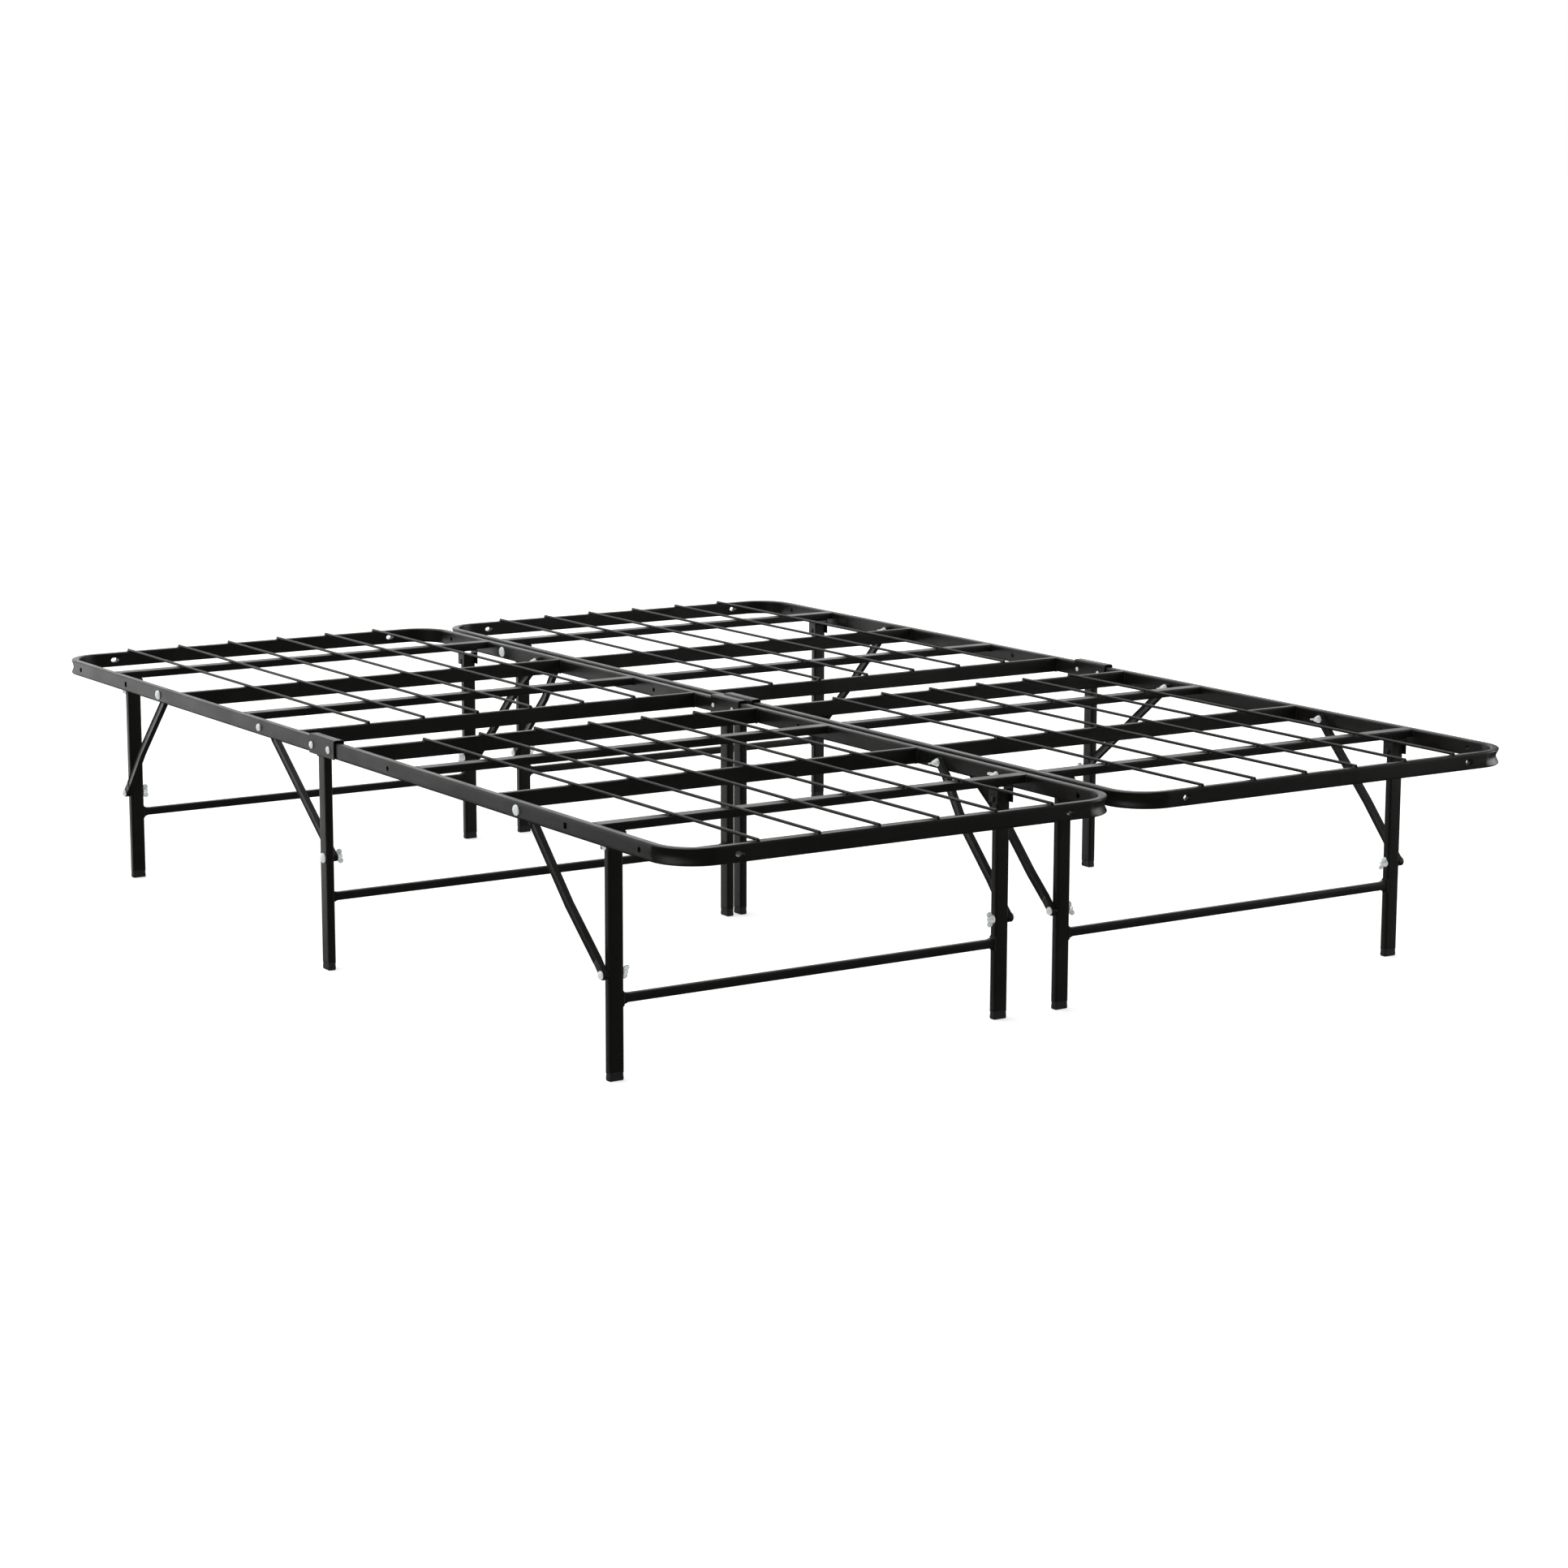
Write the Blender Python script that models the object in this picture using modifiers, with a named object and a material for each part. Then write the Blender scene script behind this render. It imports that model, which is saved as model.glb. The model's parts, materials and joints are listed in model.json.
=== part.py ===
"""Folding steel bed frame: two identical units side by side, each of two hinged wire-topped panels.

Metres, +Z up. Origin on the floor under the middle of the bed. X runs across the bed, +Y is the head end.
Unit b is unit a turned half a turn about Z. Every tube is modelled as a solid bar.
"""

import math

import bmesh
import bpy
from mathutils import Matrix

# Whole frame
HALF_LENGTH = 0.9525
HALF_WIDTH = 0.686
UNIT_GAP = 0.0116
RAIL_TOP = 0.3315
GAP = 0.0003

# Side rail tube, bent into a U for each panel
RAIL_HEIGHT = 0.0225
RAIL_THICK = 0.012
BEND_RADIUS = 0.060
BEND_STEPS = 8
TUBE_ROUND = 0.002
RAIL_MIDDLE = RAIL_TOP - RAIL_HEIGHT / 2
RAIL_BOTTOM = RAIL_TOP - RAIL_HEIGHT

# Cross slats: the same tube laid flat or stood on edge, distance of each centre from the hinge line
SLAT_WIDE = 0.022
SLAT_NARROW = 0.011
HANGER_SLAT_Y = 0.744
SECOND_SLAT_Y = 0.4975
THIRD_SLAT_Y = 0.272
HINGE_SLAT_Y = 0.088

# Support wires lying along the bed on top of the slats
WIRE_RADIUS = 0.0021
WIRE_SPACING = 0.089
WIRE_COUNT = 6

# Hinge brackets over the rail ends
RIVET_Y = 0.0265
RAIL_END_RADIUS = 0.01115
BRACKET_HEAD_LENGTH = 0.034
BRACKET_FOOT_LENGTH = 0.044
BRACKET_SIDE_GAP = 0.0003
BRACKET_TOP_GAP = 0.0022
PLATE = 0.002
RIVET_RADIUS = 0.003
RIVET_HEAD_RADIUS = 0.0055
RIVET_HEAD = 0.0024

# Leg tube, leg frames and foot plugs
LEG_WIDE = 0.0215
LEG_THIN = 0.012
END_LEG_OUTER_INSET = 0.0255
END_LEG_INNER_INSET = 0.0352
END_PIVOT_Z = 0.301
END_LEG_TOP = 0.313
STRETCHER_Z = 0.105
STRETCHER_HEIGHT = 0.012
FOOT_HEIGHT = 0.012
HANGER_BOTTOM = 0.296
HANGER_DEPTH = 0.020
HANGER_GAP = 0.0004

# Diagonal braces: pressed bars bolted to a rail and to a leg
BRACE_WIDTH = 0.011
BRACE_THICK = 0.008
BRACE_END = 0.007
BRACE_FLAT = 0.020
OUTER_BRACE_FLAT = 0.150
# An inner end brace steps in past the link nut, then stays clear of the hanger when it is folded
INNER_STEP_X = -0.0343
INNER_STEP_START = 0.105
INNER_STEP_END = 0.195
END_BRACE_RAIL_Y = 0.562
END_BRACE_LEG_Z = 0.138
CENTRE_BRACE_RAIL_Y = 0.203
CENTRE_BRACE_LEG_Z = 0.162

# Holes
BOLT_HOLE = 0.0032
LINK_Y = 0.687
LINK_SQUARE = 0.0074
LINK_REACH = 0.0116
CORNER_HOLE_Y = 0.866
END_SLOT_INSET = 0.090
SIDES = 8

# Face positions of unit a
RAIL_OUT = -HALF_WIDTH
RAIL_OUT_FACE = RAIL_OUT + RAIL_THICK
RAIL_IN = -UNIT_GAP / 2
RAIL_IN_FACE = RAIL_IN - RAIL_THICK

POWDER = ((0.028, 0.027, 0.026), 0.42, 0.0)
ZINC = ((0.72, 0.75, 0.76), 0.28, 1.0)
PLASTIC = ((0.012, 0.012, 0.012), 0.55, 0.0)


def clear_scene():
    for obj in list(bpy.data.objects):
        bpy.data.objects.remove(obj, do_unlink=True)


def make_collection(name):
    collection = bpy.data.collections.new(name)
    bpy.context.scene.collection.children.link(collection)
    return collection


def make_material(name, finish):
    colour, roughness, metallic = finish
    material = bpy.data.materials.new(name + "_finish")
    material.use_nodes = True
    shader = material.node_tree.nodes["Principled BSDF"]
    shader.inputs["Base Color"].default_value = (*colour, 1.0)
    shader.inputs["Roughness"].default_value = roughness
    shader.inputs["Metallic"].default_value = metallic
    return material


def add_part(name, mesh, finish, unit, pivot=(0.0, 0.0, 0.0), turn=0.0):
    """A node: its mesh is given about its pivot's place, which becomes the object's origin."""
    mesh.name = name
    mesh.materials.clear()
    mesh.materials.append(make_material(name, finish))
    obj = bpy.data.objects.new(name, mesh)
    parts.objects.link(obj)
    obj.parent = unit
    obj.location = pivot
    obj.rotation_euler = (turn, 0.0, 0.0)
    return obj


def shift_mesh(mesh, pivot):
    mesh.transform(Matrix.Translation([-value for value in pivot]))
    return mesh


def combine(obj, operation, mesh):
    """A Boolean with a tool mesh given in the unit's own coordinates."""
    tool = bpy.data.objects.new(obj.name + "_" + operation.lower(), mesh)
    cutters.objects.link(tool)
    tool.parent = obj.parent
    tool.hide_render = True
    tool.display_type = "WIRE"
    modifier = obj.modifiers.new(operation.title(), "BOOLEAN")
    modifier.operation = operation
    modifier.solver = "EXACT"
    modifier.object = tool


def along(axis):
    """Turns a shape drawn flat and extruded along Z so that it is extruded along the axis."""
    if axis == "X":
        return Matrix(((0, 0, 1, 0), (1, 0, 0, 0), (0, 1, 0, 0), (0, 0, 0, 1)))
    if axis == "Y":
        return Matrix(((0, 1, 0, 0), (0, 0, 1, 0), (1, 0, 0, 0), (0, 0, 0, 1)))
    return Matrix.Identity(4)


def mesh_of(obj):
    """The evaluated mesh of a helper object, welded and facing out; the helper is removed."""
    bpy.context.view_layer.update()
    graph = bpy.context.evaluated_depsgraph_get()
    mesh = bpy.data.meshes.new_from_object(obj.evaluated_get(graph))
    bpy.data.objects.remove(obj, do_unlink=True)
    work = bmesh.new()
    work.from_mesh(mesh)
    bmesh.ops.remove_doubles(work, verts=work.verts, dist=0.000002)
    bmesh.ops.recalc_face_normals(work, faces=work.faces)
    work.to_mesh(mesh)
    work.free()
    return mesh


def extruded(loops, low, high, axis="Z", rim=0.0):
    """A flat outline with holes, extruded from low to high along the axis, its rims rounded."""
    curve = bpy.data.curves.new("outline", "CURVE")
    curve.dimensions = "2D"
    curve.fill_mode = "BOTH"
    curve.extrude = (high - low) / 2 - rim
    curve.bevel_depth = rim
    curve.bevel_resolution = 0
    curve.offset = -rim
    for loop in loops:
        spline = curve.splines.new("POLY")
        spline.points.add(len(loop) - 1)
        for point, (u, v) in zip(spline.points, loop):
            point.co = (u, v, 0.0, 1.0)
        spline.use_cyclic_u = True
    obj = bpy.data.objects.new("outline", curve)
    bpy.context.scene.collection.objects.link(obj)
    mesh = mesh_of(obj)
    mesh.transform(along(axis) @ Matrix.Translation((0, 0, (low + high) / 2)))
    return mesh


def wire(points, radius):
    curve = bpy.data.curves.new("wire", "CURVE")
    curve.dimensions = "3D"
    curve.bevel_depth = radius
    curve.bevel_resolution = 1
    curve.use_fill_caps = True
    spline = curve.splines.new("POLY")
    spline.points.add(len(points) - 1)
    for point, place in zip(spline.points, points):
        point.co = (*place, 1.0)
    obj = bpy.data.objects.new("wire", curve)
    bpy.context.scene.collection.objects.link(obj)
    return mesh_of(obj)


def turned(profile, axis="Z", steps=SIDES):
    """A profile of (radius, height) points from top to bottom, turned about the axis."""
    mesh = bpy.data.meshes.new("profile")
    work = bmesh.new()
    points = [work.verts.new((radius, 0.0, height)) for radius, height in profile]
    for first, second in zip(points, points[1:]):
        work.edges.new((first, second))
    work.to_mesh(mesh)
    work.free()
    obj = bpy.data.objects.new("profile", mesh)
    bpy.context.scene.collection.objects.link(obj)
    screw = obj.modifiers.new("Screw", "SCREW")
    screw.steps = steps
    screw.render_steps = steps
    screw.use_merge_vertices = True
    screw.merge_threshold = 0.00001
    mesh = mesh_of(obj)
    mesh.transform(along(axis))
    return mesh


def cylinder(axis, u, v, low, high, radius, sides=SIDES):
    work = bmesh.new()
    place = Matrix.Translation((u, v, (low + high) / 2))
    bmesh.ops.create_cone(
        work, cap_ends=True, segments=sides, radius1=radius, radius2=radius, depth=high - low, matrix=place
    )
    mesh = bpy.data.meshes.new("cylinder")
    work.to_mesh(mesh)
    work.free()
    mesh.transform(along(axis))
    return mesh


def box(x0, x1, y0, y1, z0, z1):
    work = bmesh.new()
    place = Matrix.Translation(((x0 + x1) / 2, (y0 + y1) / 2, (z0 + z1) / 2))
    size = Matrix.Diagonal((x1 - x0, y1 - y0, z1 - z0, 1.0))
    bmesh.ops.create_cube(work, size=1.0, matrix=place @ size)
    mesh = bpy.data.meshes.new("box")
    work.to_mesh(mesh)
    work.free()
    return mesh


def joined(meshes):
    """Separate closed shapes in one mesh, for a tool that cuts or adds them all at once."""
    work = bmesh.new()
    for mesh in meshes:
        work.from_mesh(mesh)
    result = bpy.data.meshes.new("tool")
    work.to_mesh(result)
    work.free()
    return result


def moved(mesh, x=0.0, y=0.0, z=0.0):
    mesh.transform(Matrix.Translation((x, y, z)))
    return mesh


def arc(u, v, radius, start, end, steps):
    """Points on an arc, from one angle to another in degrees."""
    points = []
    for step in range(steps + 1):
        angle = math.radians(start + (end - start) * step / steps)
        points.append((u + radius * math.cos(angle), v + radius * math.sin(angle)))
    return points


def rounded(u0, u1, v0, v1, radius, steps=2):
    """A rectangle with rounded corners."""
    points = arc(u1 - radius, v1 - radius, radius, 0, 90, steps)
    points += arc(u0 + radius, v1 - radius, radius, 90, 180, steps)
    points += arc(u0 + radius, v0 + radius, radius, 180, 270, steps)
    points += arc(u1 - radius, v0 + radius, radius, 270, 360, steps)
    return points


def channel(low, high, side0, side1, wall, radius):
    """The section of a channel open at its low side, as (height, side) points."""
    points = [(low, side0)]
    points += arc(high - radius, side0 + radius, radius, 270, 360, 2)
    points += arc(high - radius, side1 - radius, radius, 0, 90, 2)
    points += [(low, side1), (low, side1 - wall), (high - wall, side1 - wall)]
    points += [(high - wall, side0 + wall), (low, side0 + wall)]
    return points


def rail_outline(side):
    """The plan of one bent side rail: two long arms and the end beam."""
    end = HALF_LENGTH
    bend = end - BEND_RADIUS
    inner = BEND_RADIUS - RAIL_THICK
    left = RAIL_OUT + BEND_RADIUS
    right = RAIL_IN - BEND_RADIUS
    points = [(RAIL_OUT_FACE, RIVET_Y), (RAIL_OUT, RIVET_Y)]
    points += arc(left, bend, BEND_RADIUS, 180, 90, BEND_STEPS)
    points += arc(right, bend, BEND_RADIUS, 90, 0, BEND_STEPS)
    points += [(RAIL_IN, RIVET_Y), (RAIL_IN_FACE, RIVET_Y)]
    points += arc(right, bend, inner, 0, 90, BEND_STEPS)
    points += arc(left, bend, inner, 90, 180, BEND_STEPS)
    return [(x, side * y) for x, y in points]


def make_rail(name, side, unit):
    mesh = extruded([rail_outline(side)], RAIL_BOTTOM, RAIL_TOP, "Z", TUBE_ROUND)
    rail = add_part(name, mesh, POWDER, unit)
    ends = []
    holes = []
    for face in (RAIL_OUT, RAIL_IN_FACE):
        low = face - 0.004
        high = face + RAIL_THICK + 0.004
        ring = arc(side * RIVET_Y, RAIL_MIDDLE, RAIL_END_RADIUS, 15, 345, 11)
        ends.append(extruded([ring], face + 0.0001, face + RAIL_THICK - 0.0001, "X", TUBE_ROUND))
        for place, radius in (
            (RIVET_Y, RIVET_RADIUS + GAP),
            (CENTRE_BRACE_RAIL_Y, BOLT_HOLE),
            (END_BRACE_RAIL_Y, BOLT_HOLE),
            (CORNER_HOLE_Y, 0.0036),
        ):
            holes.append(cylinder("X", side * place, RAIL_MIDDLE, low, high, radius))
        near = side * LINK_Y - LINK_SQUARE / 2
        floor = RAIL_MIDDLE - LINK_SQUARE / 2
        holes.append(box(low, high, near, near + LINK_SQUARE, floor, floor + LINK_SQUARE))
    beam = sorted((side * (HALF_LENGTH - RAIL_THICK - 0.004), side * (HALF_LENGTH + 0.004)))
    for centre in (RAIL_OUT + END_SLOT_INSET, RAIL_IN - END_SLOT_INSET):
        oval = arc(RAIL_MIDDLE, centre + 0.003, 0.0034, 0, 180, 4)
        oval += arc(RAIL_MIDDLE, centre - 0.003, 0.0034, 180, 360, 4)
        holes.append(extruded([oval], beam[0], beam[1], "Y"))
    combine(rail, "UNION", joined(ends))
    combine(rail, "DIFFERENCE", joined(holes))


def slat_mesh(centre, wide, deep):
    """A cross slat between the rails, its top level with the rails' tops."""
    section = rounded(centre - wide / 2, centre + wide / 2, RAIL_TOP - deep, RAIL_TOP, TUBE_ROUND)
    return extruded([section], RAIL_OUT_FACE + GAP, RAIL_IN_FACE - GAP, "X")


def end_leg_sides():
    """The X range of the outer and of the inner end leg."""
    outer = RAIL_OUT + END_LEG_OUTER_INSET
    inner = RAIL_IN - END_LEG_INNER_INSET
    return (outer, outer + LEG_WIDE), (inner - LEG_WIDE, inner)


def make_hanger_slat(name, side, unit):
    """The end slat with the two channels that the end legs pivot in."""
    slat = add_part(name, slat_mesh(side * HANGER_SLAT_Y, SLAT_WIDE, SLAT_NARROW), POWDER, unit)
    hangers = []
    holes = []
    top = RAIL_TOP - SLAT_NARROW + GAP
    middle = side * HANGER_SLAT_Y
    for low, high in end_leg_sides():
        left = low - HANGER_GAP - PLATE
        right = high + HANGER_GAP + PLATE
        section = channel(HANGER_BOTTOM, top, left, right, PLATE, 0.001)
        hangers.append(extruded([section], middle - HANGER_DEPTH / 2, middle + HANGER_DEPTH / 2, "Y"))
        holes.append(cylinder("X", middle, END_PIVOT_Z, left - 0.003, right + 0.003, BOLT_HOLE))
    combine(slat, "UNION", joined(hangers))
    combine(slat, "DIFFERENCE", joined(holes))


def make_wire_deck(name, side, unit):
    """The slat by the hinge with the panel's wires welded on."""
    deck = add_part(name, slat_mesh(side * HINGE_SLAT_Y, SLAT_NARROW, RAIL_HEIGHT), POWDER, unit)
    height = RAIL_TOP + GAP + WIRE_RADIUS
    middle = (RAIL_OUT + RAIL_IN) / 2
    welds = []
    wires = []
    for index in range(WIRE_COUNT):
        x = middle + (index - (WIRE_COUNT - 1) / 2) * WIRE_SPACING
        far = HALF_LENGTH - 0.0025
        wires.append(wire([(x, side * 0.084, height), (x, side * far, height)], WIRE_RADIUS))
        welds.append(cylinder("Z", x, side * HINGE_SLAT_Y, RAIL_TOP - 0.001, RAIL_TOP + 0.0016, 0.0033, 6))
    combine(deck, "UNION", joined(welds))
    combine(deck, "UNION", joined(wires))


def stretcher_mesh(low, high, y):
    bottom = STRETCHER_Z - STRETCHER_HEIGHT / 2
    section = rounded(y - 0.0055, y + 0.0055, bottom, bottom + STRETCHER_HEIGHT, 0.0015)
    return extruded([section], low, high, "X")


def make_leg_frame(name, unit, sides, y, thick, top, pivot, holes):
    """Two legs and the stretcher welded between them, its origin on the frame's pivot."""
    legs = []
    for low, high in sides:
        plan = rounded(low, high, y - thick / 2, y + thick / 2, TUBE_ROUND)
        legs.append(extruded([plan], FOOT_HEIGHT + GAP, top))
    frame = add_part(name, shift_mesh(legs[0], pivot), POWDER, unit, pivot)
    combine(frame, "UNION", legs[1])
    combine(frame, "UNION", stretcher_mesh(sides[0][1] - 0.001, sides[1][0] + 0.001, y))
    cuts = []
    for low, high in sides:
        for height in holes:
            cuts.append(cylinder("X", y, height, low - 0.004, high + 0.004, BOLT_HOLE))
    combine(frame, "DIFFERENCE", joined(cuts))


def make_feet(names, unit, sides, y, thick, pivot):
    for name, (low, high) in zip(names, sides):
        plan = rounded(low, high, y - thick / 2, y + thick / 2, TUBE_ROUND)
        mesh = extruded([plan], 0.0, FOOT_HEIGHT, "Z", 0.0016)
        add_part(name, shift_mesh(mesh, pivot), PLASTIC, unit, pivot)


def side_step(stations, place):
    """The x of a brace at a distance from its pivot bolt."""
    for (near, near_x), (far, far_x) in zip(stations, stations[1:]):
        if place <= far:
            share = max(0.0, (place - near) / (far - near))
            return near_x + (far_x - near_x) * share
    return stations[-1][1]


def make_brace(name, unit, pivot, target, stations):
    """A bar with two bolt holes from its pivot bolt to its far bolt.

    stations gives (distance from the pivot bolt, x) pairs, and the bar is straight between them.
    """
    length = math.hypot(target[0] - pivot[0], target[1] - pivot[1])
    turn = math.atan2(target[1] - pivot[1], target[0] - pivot[0])
    half = BRACE_WIDTH / 2
    outline = arc(length + BRACE_END - half, 0.0, half, -90, 90, 4)
    outline += arc(half - BRACE_END, 0.0, half, 90, 270, 4)
    bores = [arc(place, 0.0, BOLT_HOLE, 0, 315, SIDES - 1) for place in (0.0, length)]
    mesh = extruded([outline] + bores, -BRACE_THICK / 2, BRACE_THICK / 2, "X")
    work = bmesh.new()
    work.from_mesh(mesh)
    for place, _ in stations:
        cut = work.verts[:] + work.edges[:] + work.faces[:]
        bmesh.ops.bisect_plane(work, geom=cut, dist=0.000001, plane_co=(0, place, 0), plane_no=(0, 1, 0))
    start_x = stations[0][1]
    for vertex in work.verts:
        vertex.co.x += side_step(stations, vertex.co.y) - start_x
    work.to_mesh(mesh)
    work.free()
    add_part(name, mesh, POWDER, unit, (start_x, pivot[0], pivot[1]), turn)


def rivet_mesh(y, left, right):
    """A riveted pin through a bracket, with a low domed head at each side."""
    reach = (right - left) / 2
    head = RIVET_HEAD_RADIUS
    profile = [(0, reach + RIVET_HEAD), (head * 0.6, reach + RIVET_HEAD * 0.8), (head, reach + 0.0003)]
    profile += [(head, reach - 0.0002), (RIVET_RADIUS, reach - 0.0002), (RIVET_RADIUS, 0.0002 - reach)]
    profile += [(head, 0.0002 - reach), (head, -reach - 0.0003), (head * 0.6, -reach - RIVET_HEAD * 0.8)]
    profile += [(0, -reach - RIVET_HEAD)]
    return moved(turned(profile, "X"), (left + right) / 2, y, RAIL_MIDDLE)


def make_hinge(name, unit, face, low, high):
    """The inverted channel over two rail ends, with the rivets that the two rails turn on."""
    left = face - BRACKET_SIDE_GAP - PLATE
    right = face + RAIL_THICK + BRACKET_SIDE_GAP + PLATE
    top = RAIL_TOP + BRACKET_TOP_GAP + PLATE
    section = channel(RAIL_BOTTOM - 0.0005, top, left, right, PLATE, 0.003)
    mesh = extruded([section], low, high, "Y")
    pivot = (0.0, RIVET_Y, RAIL_MIDDLE)
    bracket = add_part(name, shift_mesh(mesh, pivot), POWDER, unit, pivot)
    combine(bracket, "UNION", joined([rivet_mesh(side * RIVET_Y, left, right) for side in (1, -1)]))


def centre_leg_sides():
    """The X range of the two centre legs, which stand up into the hinge brackets."""
    inset = (RAIL_THICK - LEG_THIN) / 2
    return (RAIL_OUT + inset, RAIL_OUT_FACE - inset), (RAIL_IN_FACE + inset, RAIL_IN - inset)


def make_link_bolt(name, unit, y):
    """The bolt that ties the two units' inner rails together, its head on this unit's side."""
    face = RAIL_IN_FACE
    head = 0.0085
    tip = LINK_REACH - face
    profile = [(0, tip), (0.0026, tip), (0.003, tip - 0.0006), (0.003, face - 0.0005), (head, face - 0.0005)]
    profile += [(head, face - 0.0012), (head * 0.8, face - 0.0031), (head * 0.4, face - 0.0044)]
    profile += [(0, face - 0.0048)]
    bolt = add_part(name, moved(turned(profile, "X", 16), 0, y, RAIL_MIDDLE), ZINC, unit)
    half = LINK_SQUARE / 2 - GAP
    neck = box(face - 0.001, face + 0.003, y - half, y + half, RAIL_MIDDLE - half, RAIL_MIDDLE + half)
    combine(bolt, "UNION", neck)


def make_link_nut(name, unit, y):
    """The wing nut on the link bolt, against the other unit's inner rail."""
    face = -RAIL_IN_FACE + GAP
    hub = turned([(0, 0.0065), (0.0042, 0.0065), (0.0062, 0), (0, 0)], "X")
    nut = add_part(name, moved(hub, face, y, RAIL_MIDDLE), ZINC, unit)
    blades = []
    for side in (1, -1):
        low, high = sorted((side * 0.0035, side * 0.0135))
        blade = rounded(0.0015, 0.0105, low, high, 0.003, 2)
        flat = extruded([blade], -0.0009, 0.0009, "Z")
        blades.append(moved(flat, face, y, RAIL_MIDDLE))
    combine(nut, "UNION", joined(blades))
    combine(nut, "DIFFERENCE", cylinder("X", y, RAIL_MIDDLE, face - 0.002, face + 0.02, 0.0034, 16))


def make_panel(letter, end, side, unit):
    """One panel of a unit with its end leg frame and braces. side is its sign along the unit's Y."""
    tag = letter + "_" + end
    make_rail("rail_" + tag, side, unit)
    make_hanger_slat("hanger_slat_" + tag, side, unit)
    second = slat_mesh(side * SECOND_SLAT_Y, SLAT_NARROW, RAIL_HEIGHT)
    add_part("deep_slat_" + tag, second, POWDER, unit)
    third = slat_mesh(side * THIRD_SLAT_Y, SLAT_WIDE, SLAT_NARROW)
    add_part("flat_slat_" + tag, third, POWDER, unit)
    make_wire_deck("wire_deck_" + tag, side, unit)
    sides = end_leg_sides()
    y = side * HANGER_SLAT_Y
    pivot = (0.0, y, END_PIVOT_Z)
    holes = (END_PIVOT_Z, END_BRACE_LEG_Z)
    make_leg_frame("leg_frame_" + tag, unit, sides, y, LEG_THIN, END_LEG_TOP, pivot, holes)
    make_feet(["foot_" + tag + "_outer", "foot_" + tag + "_inner"], unit, sides, y, LEG_THIN, pivot)
    bolt = (side * END_BRACE_RAIL_Y, RAIL_MIDDLE)
    target = (y, END_BRACE_LEG_Z)
    reach = GAP + BRACE_THICK / 2
    ease_end = math.hypot(target[0] - bolt[0], target[1] - bolt[1]) - BRACE_FLAT
    outer = (OUTER_BRACE_FLAT, RAIL_OUT_FACE + reach), (ease_end, RAIL_OUT + END_LEG_OUTER_INSET - reach)
    make_brace("brace_" + tag + "_outer", unit, bolt, target, outer)
    inner = (BRACE_FLAT, RAIL_IN_FACE - reach), (INNER_STEP_START, INNER_STEP_X)
    inner += (INNER_STEP_END, INNER_STEP_X), (ease_end, RAIL_IN - END_LEG_INNER_INSET + reach)
    make_brace("brace_" + tag + "_inner", unit, bolt, target, inner)


def make_centre(letter, unit, low, high):
    """The centre leg frame, the hinge brackets over its legs, and its outer brace to the +Y panel."""
    tag = letter + "_centre"
    sides = centre_leg_sides()
    pivot = (0.0, RIVET_Y, RAIL_MIDDLE)
    top = RAIL_TOP + BRACKET_TOP_GAP - GAP
    make_leg_frame("leg_frame_" + tag, unit, sides, 0.0, LEG_WIDE, top, pivot, (CENTRE_BRACE_LEG_Z,))
    make_feet(["foot_" + tag + "_outer", "foot_" + tag + "_inner"], unit, sides, 0.0, LEG_WIDE, pivot)
    make_hinge("hinge_" + letter + "_outer", unit, RAIL_OUT, low, high)
    make_hinge("hinge_" + letter + "_inner", unit, RAIL_IN_FACE, low, high)
    bolt = (CENTRE_BRACE_RAIL_Y, RAIL_MIDDLE)
    leg = (0.0, CENTRE_BRACE_LEG_Z)
    x = RAIL_OUT_FACE + GAP + BRACE_THICK / 2
    make_brace("brace_" + tag + "_outer", unit, bolt, leg, ((0.0, x), (BRACE_FLAT, x)))


def make_unit(letter, turn, plus_end, minus_end, bracket):
    unit = bpy.data.objects.new("unit_" + letter, None)
    parts.objects.link(unit)
    unit.rotation_euler = (0.0, 0.0, turn)
    make_panel(letter, plus_end, 1, unit)
    make_panel(letter, minus_end, -1, unit)
    make_centre(letter, unit, bracket[0], bracket[1])
    make_link_bolt("link_bolt_" + plus_end, unit, LINK_Y)
    make_link_nut("link_nut_" + plus_end, unit, LINK_Y)


clear_scene()
parts = make_collection("folding_bed_frame")
cutters = make_collection("bed_frame_cutters")
make_unit("a", 0.0, "head", "foot", (-BRACKET_FOOT_LENGTH, BRACKET_HEAD_LENGTH))
make_unit("b", math.pi, "foot", "head", (-BRACKET_HEAD_LENGTH, BRACKET_FOOT_LENGTH))
for part in parts.objects:
    if part.type == "MESH":
        part.data.shade_smooth()
        part.data.set_sharp_from_angle(angle=math.radians(35))
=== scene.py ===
import json
import math
import random

import bmesh
import bpy
from mathutils import Matrix, Vector


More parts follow.
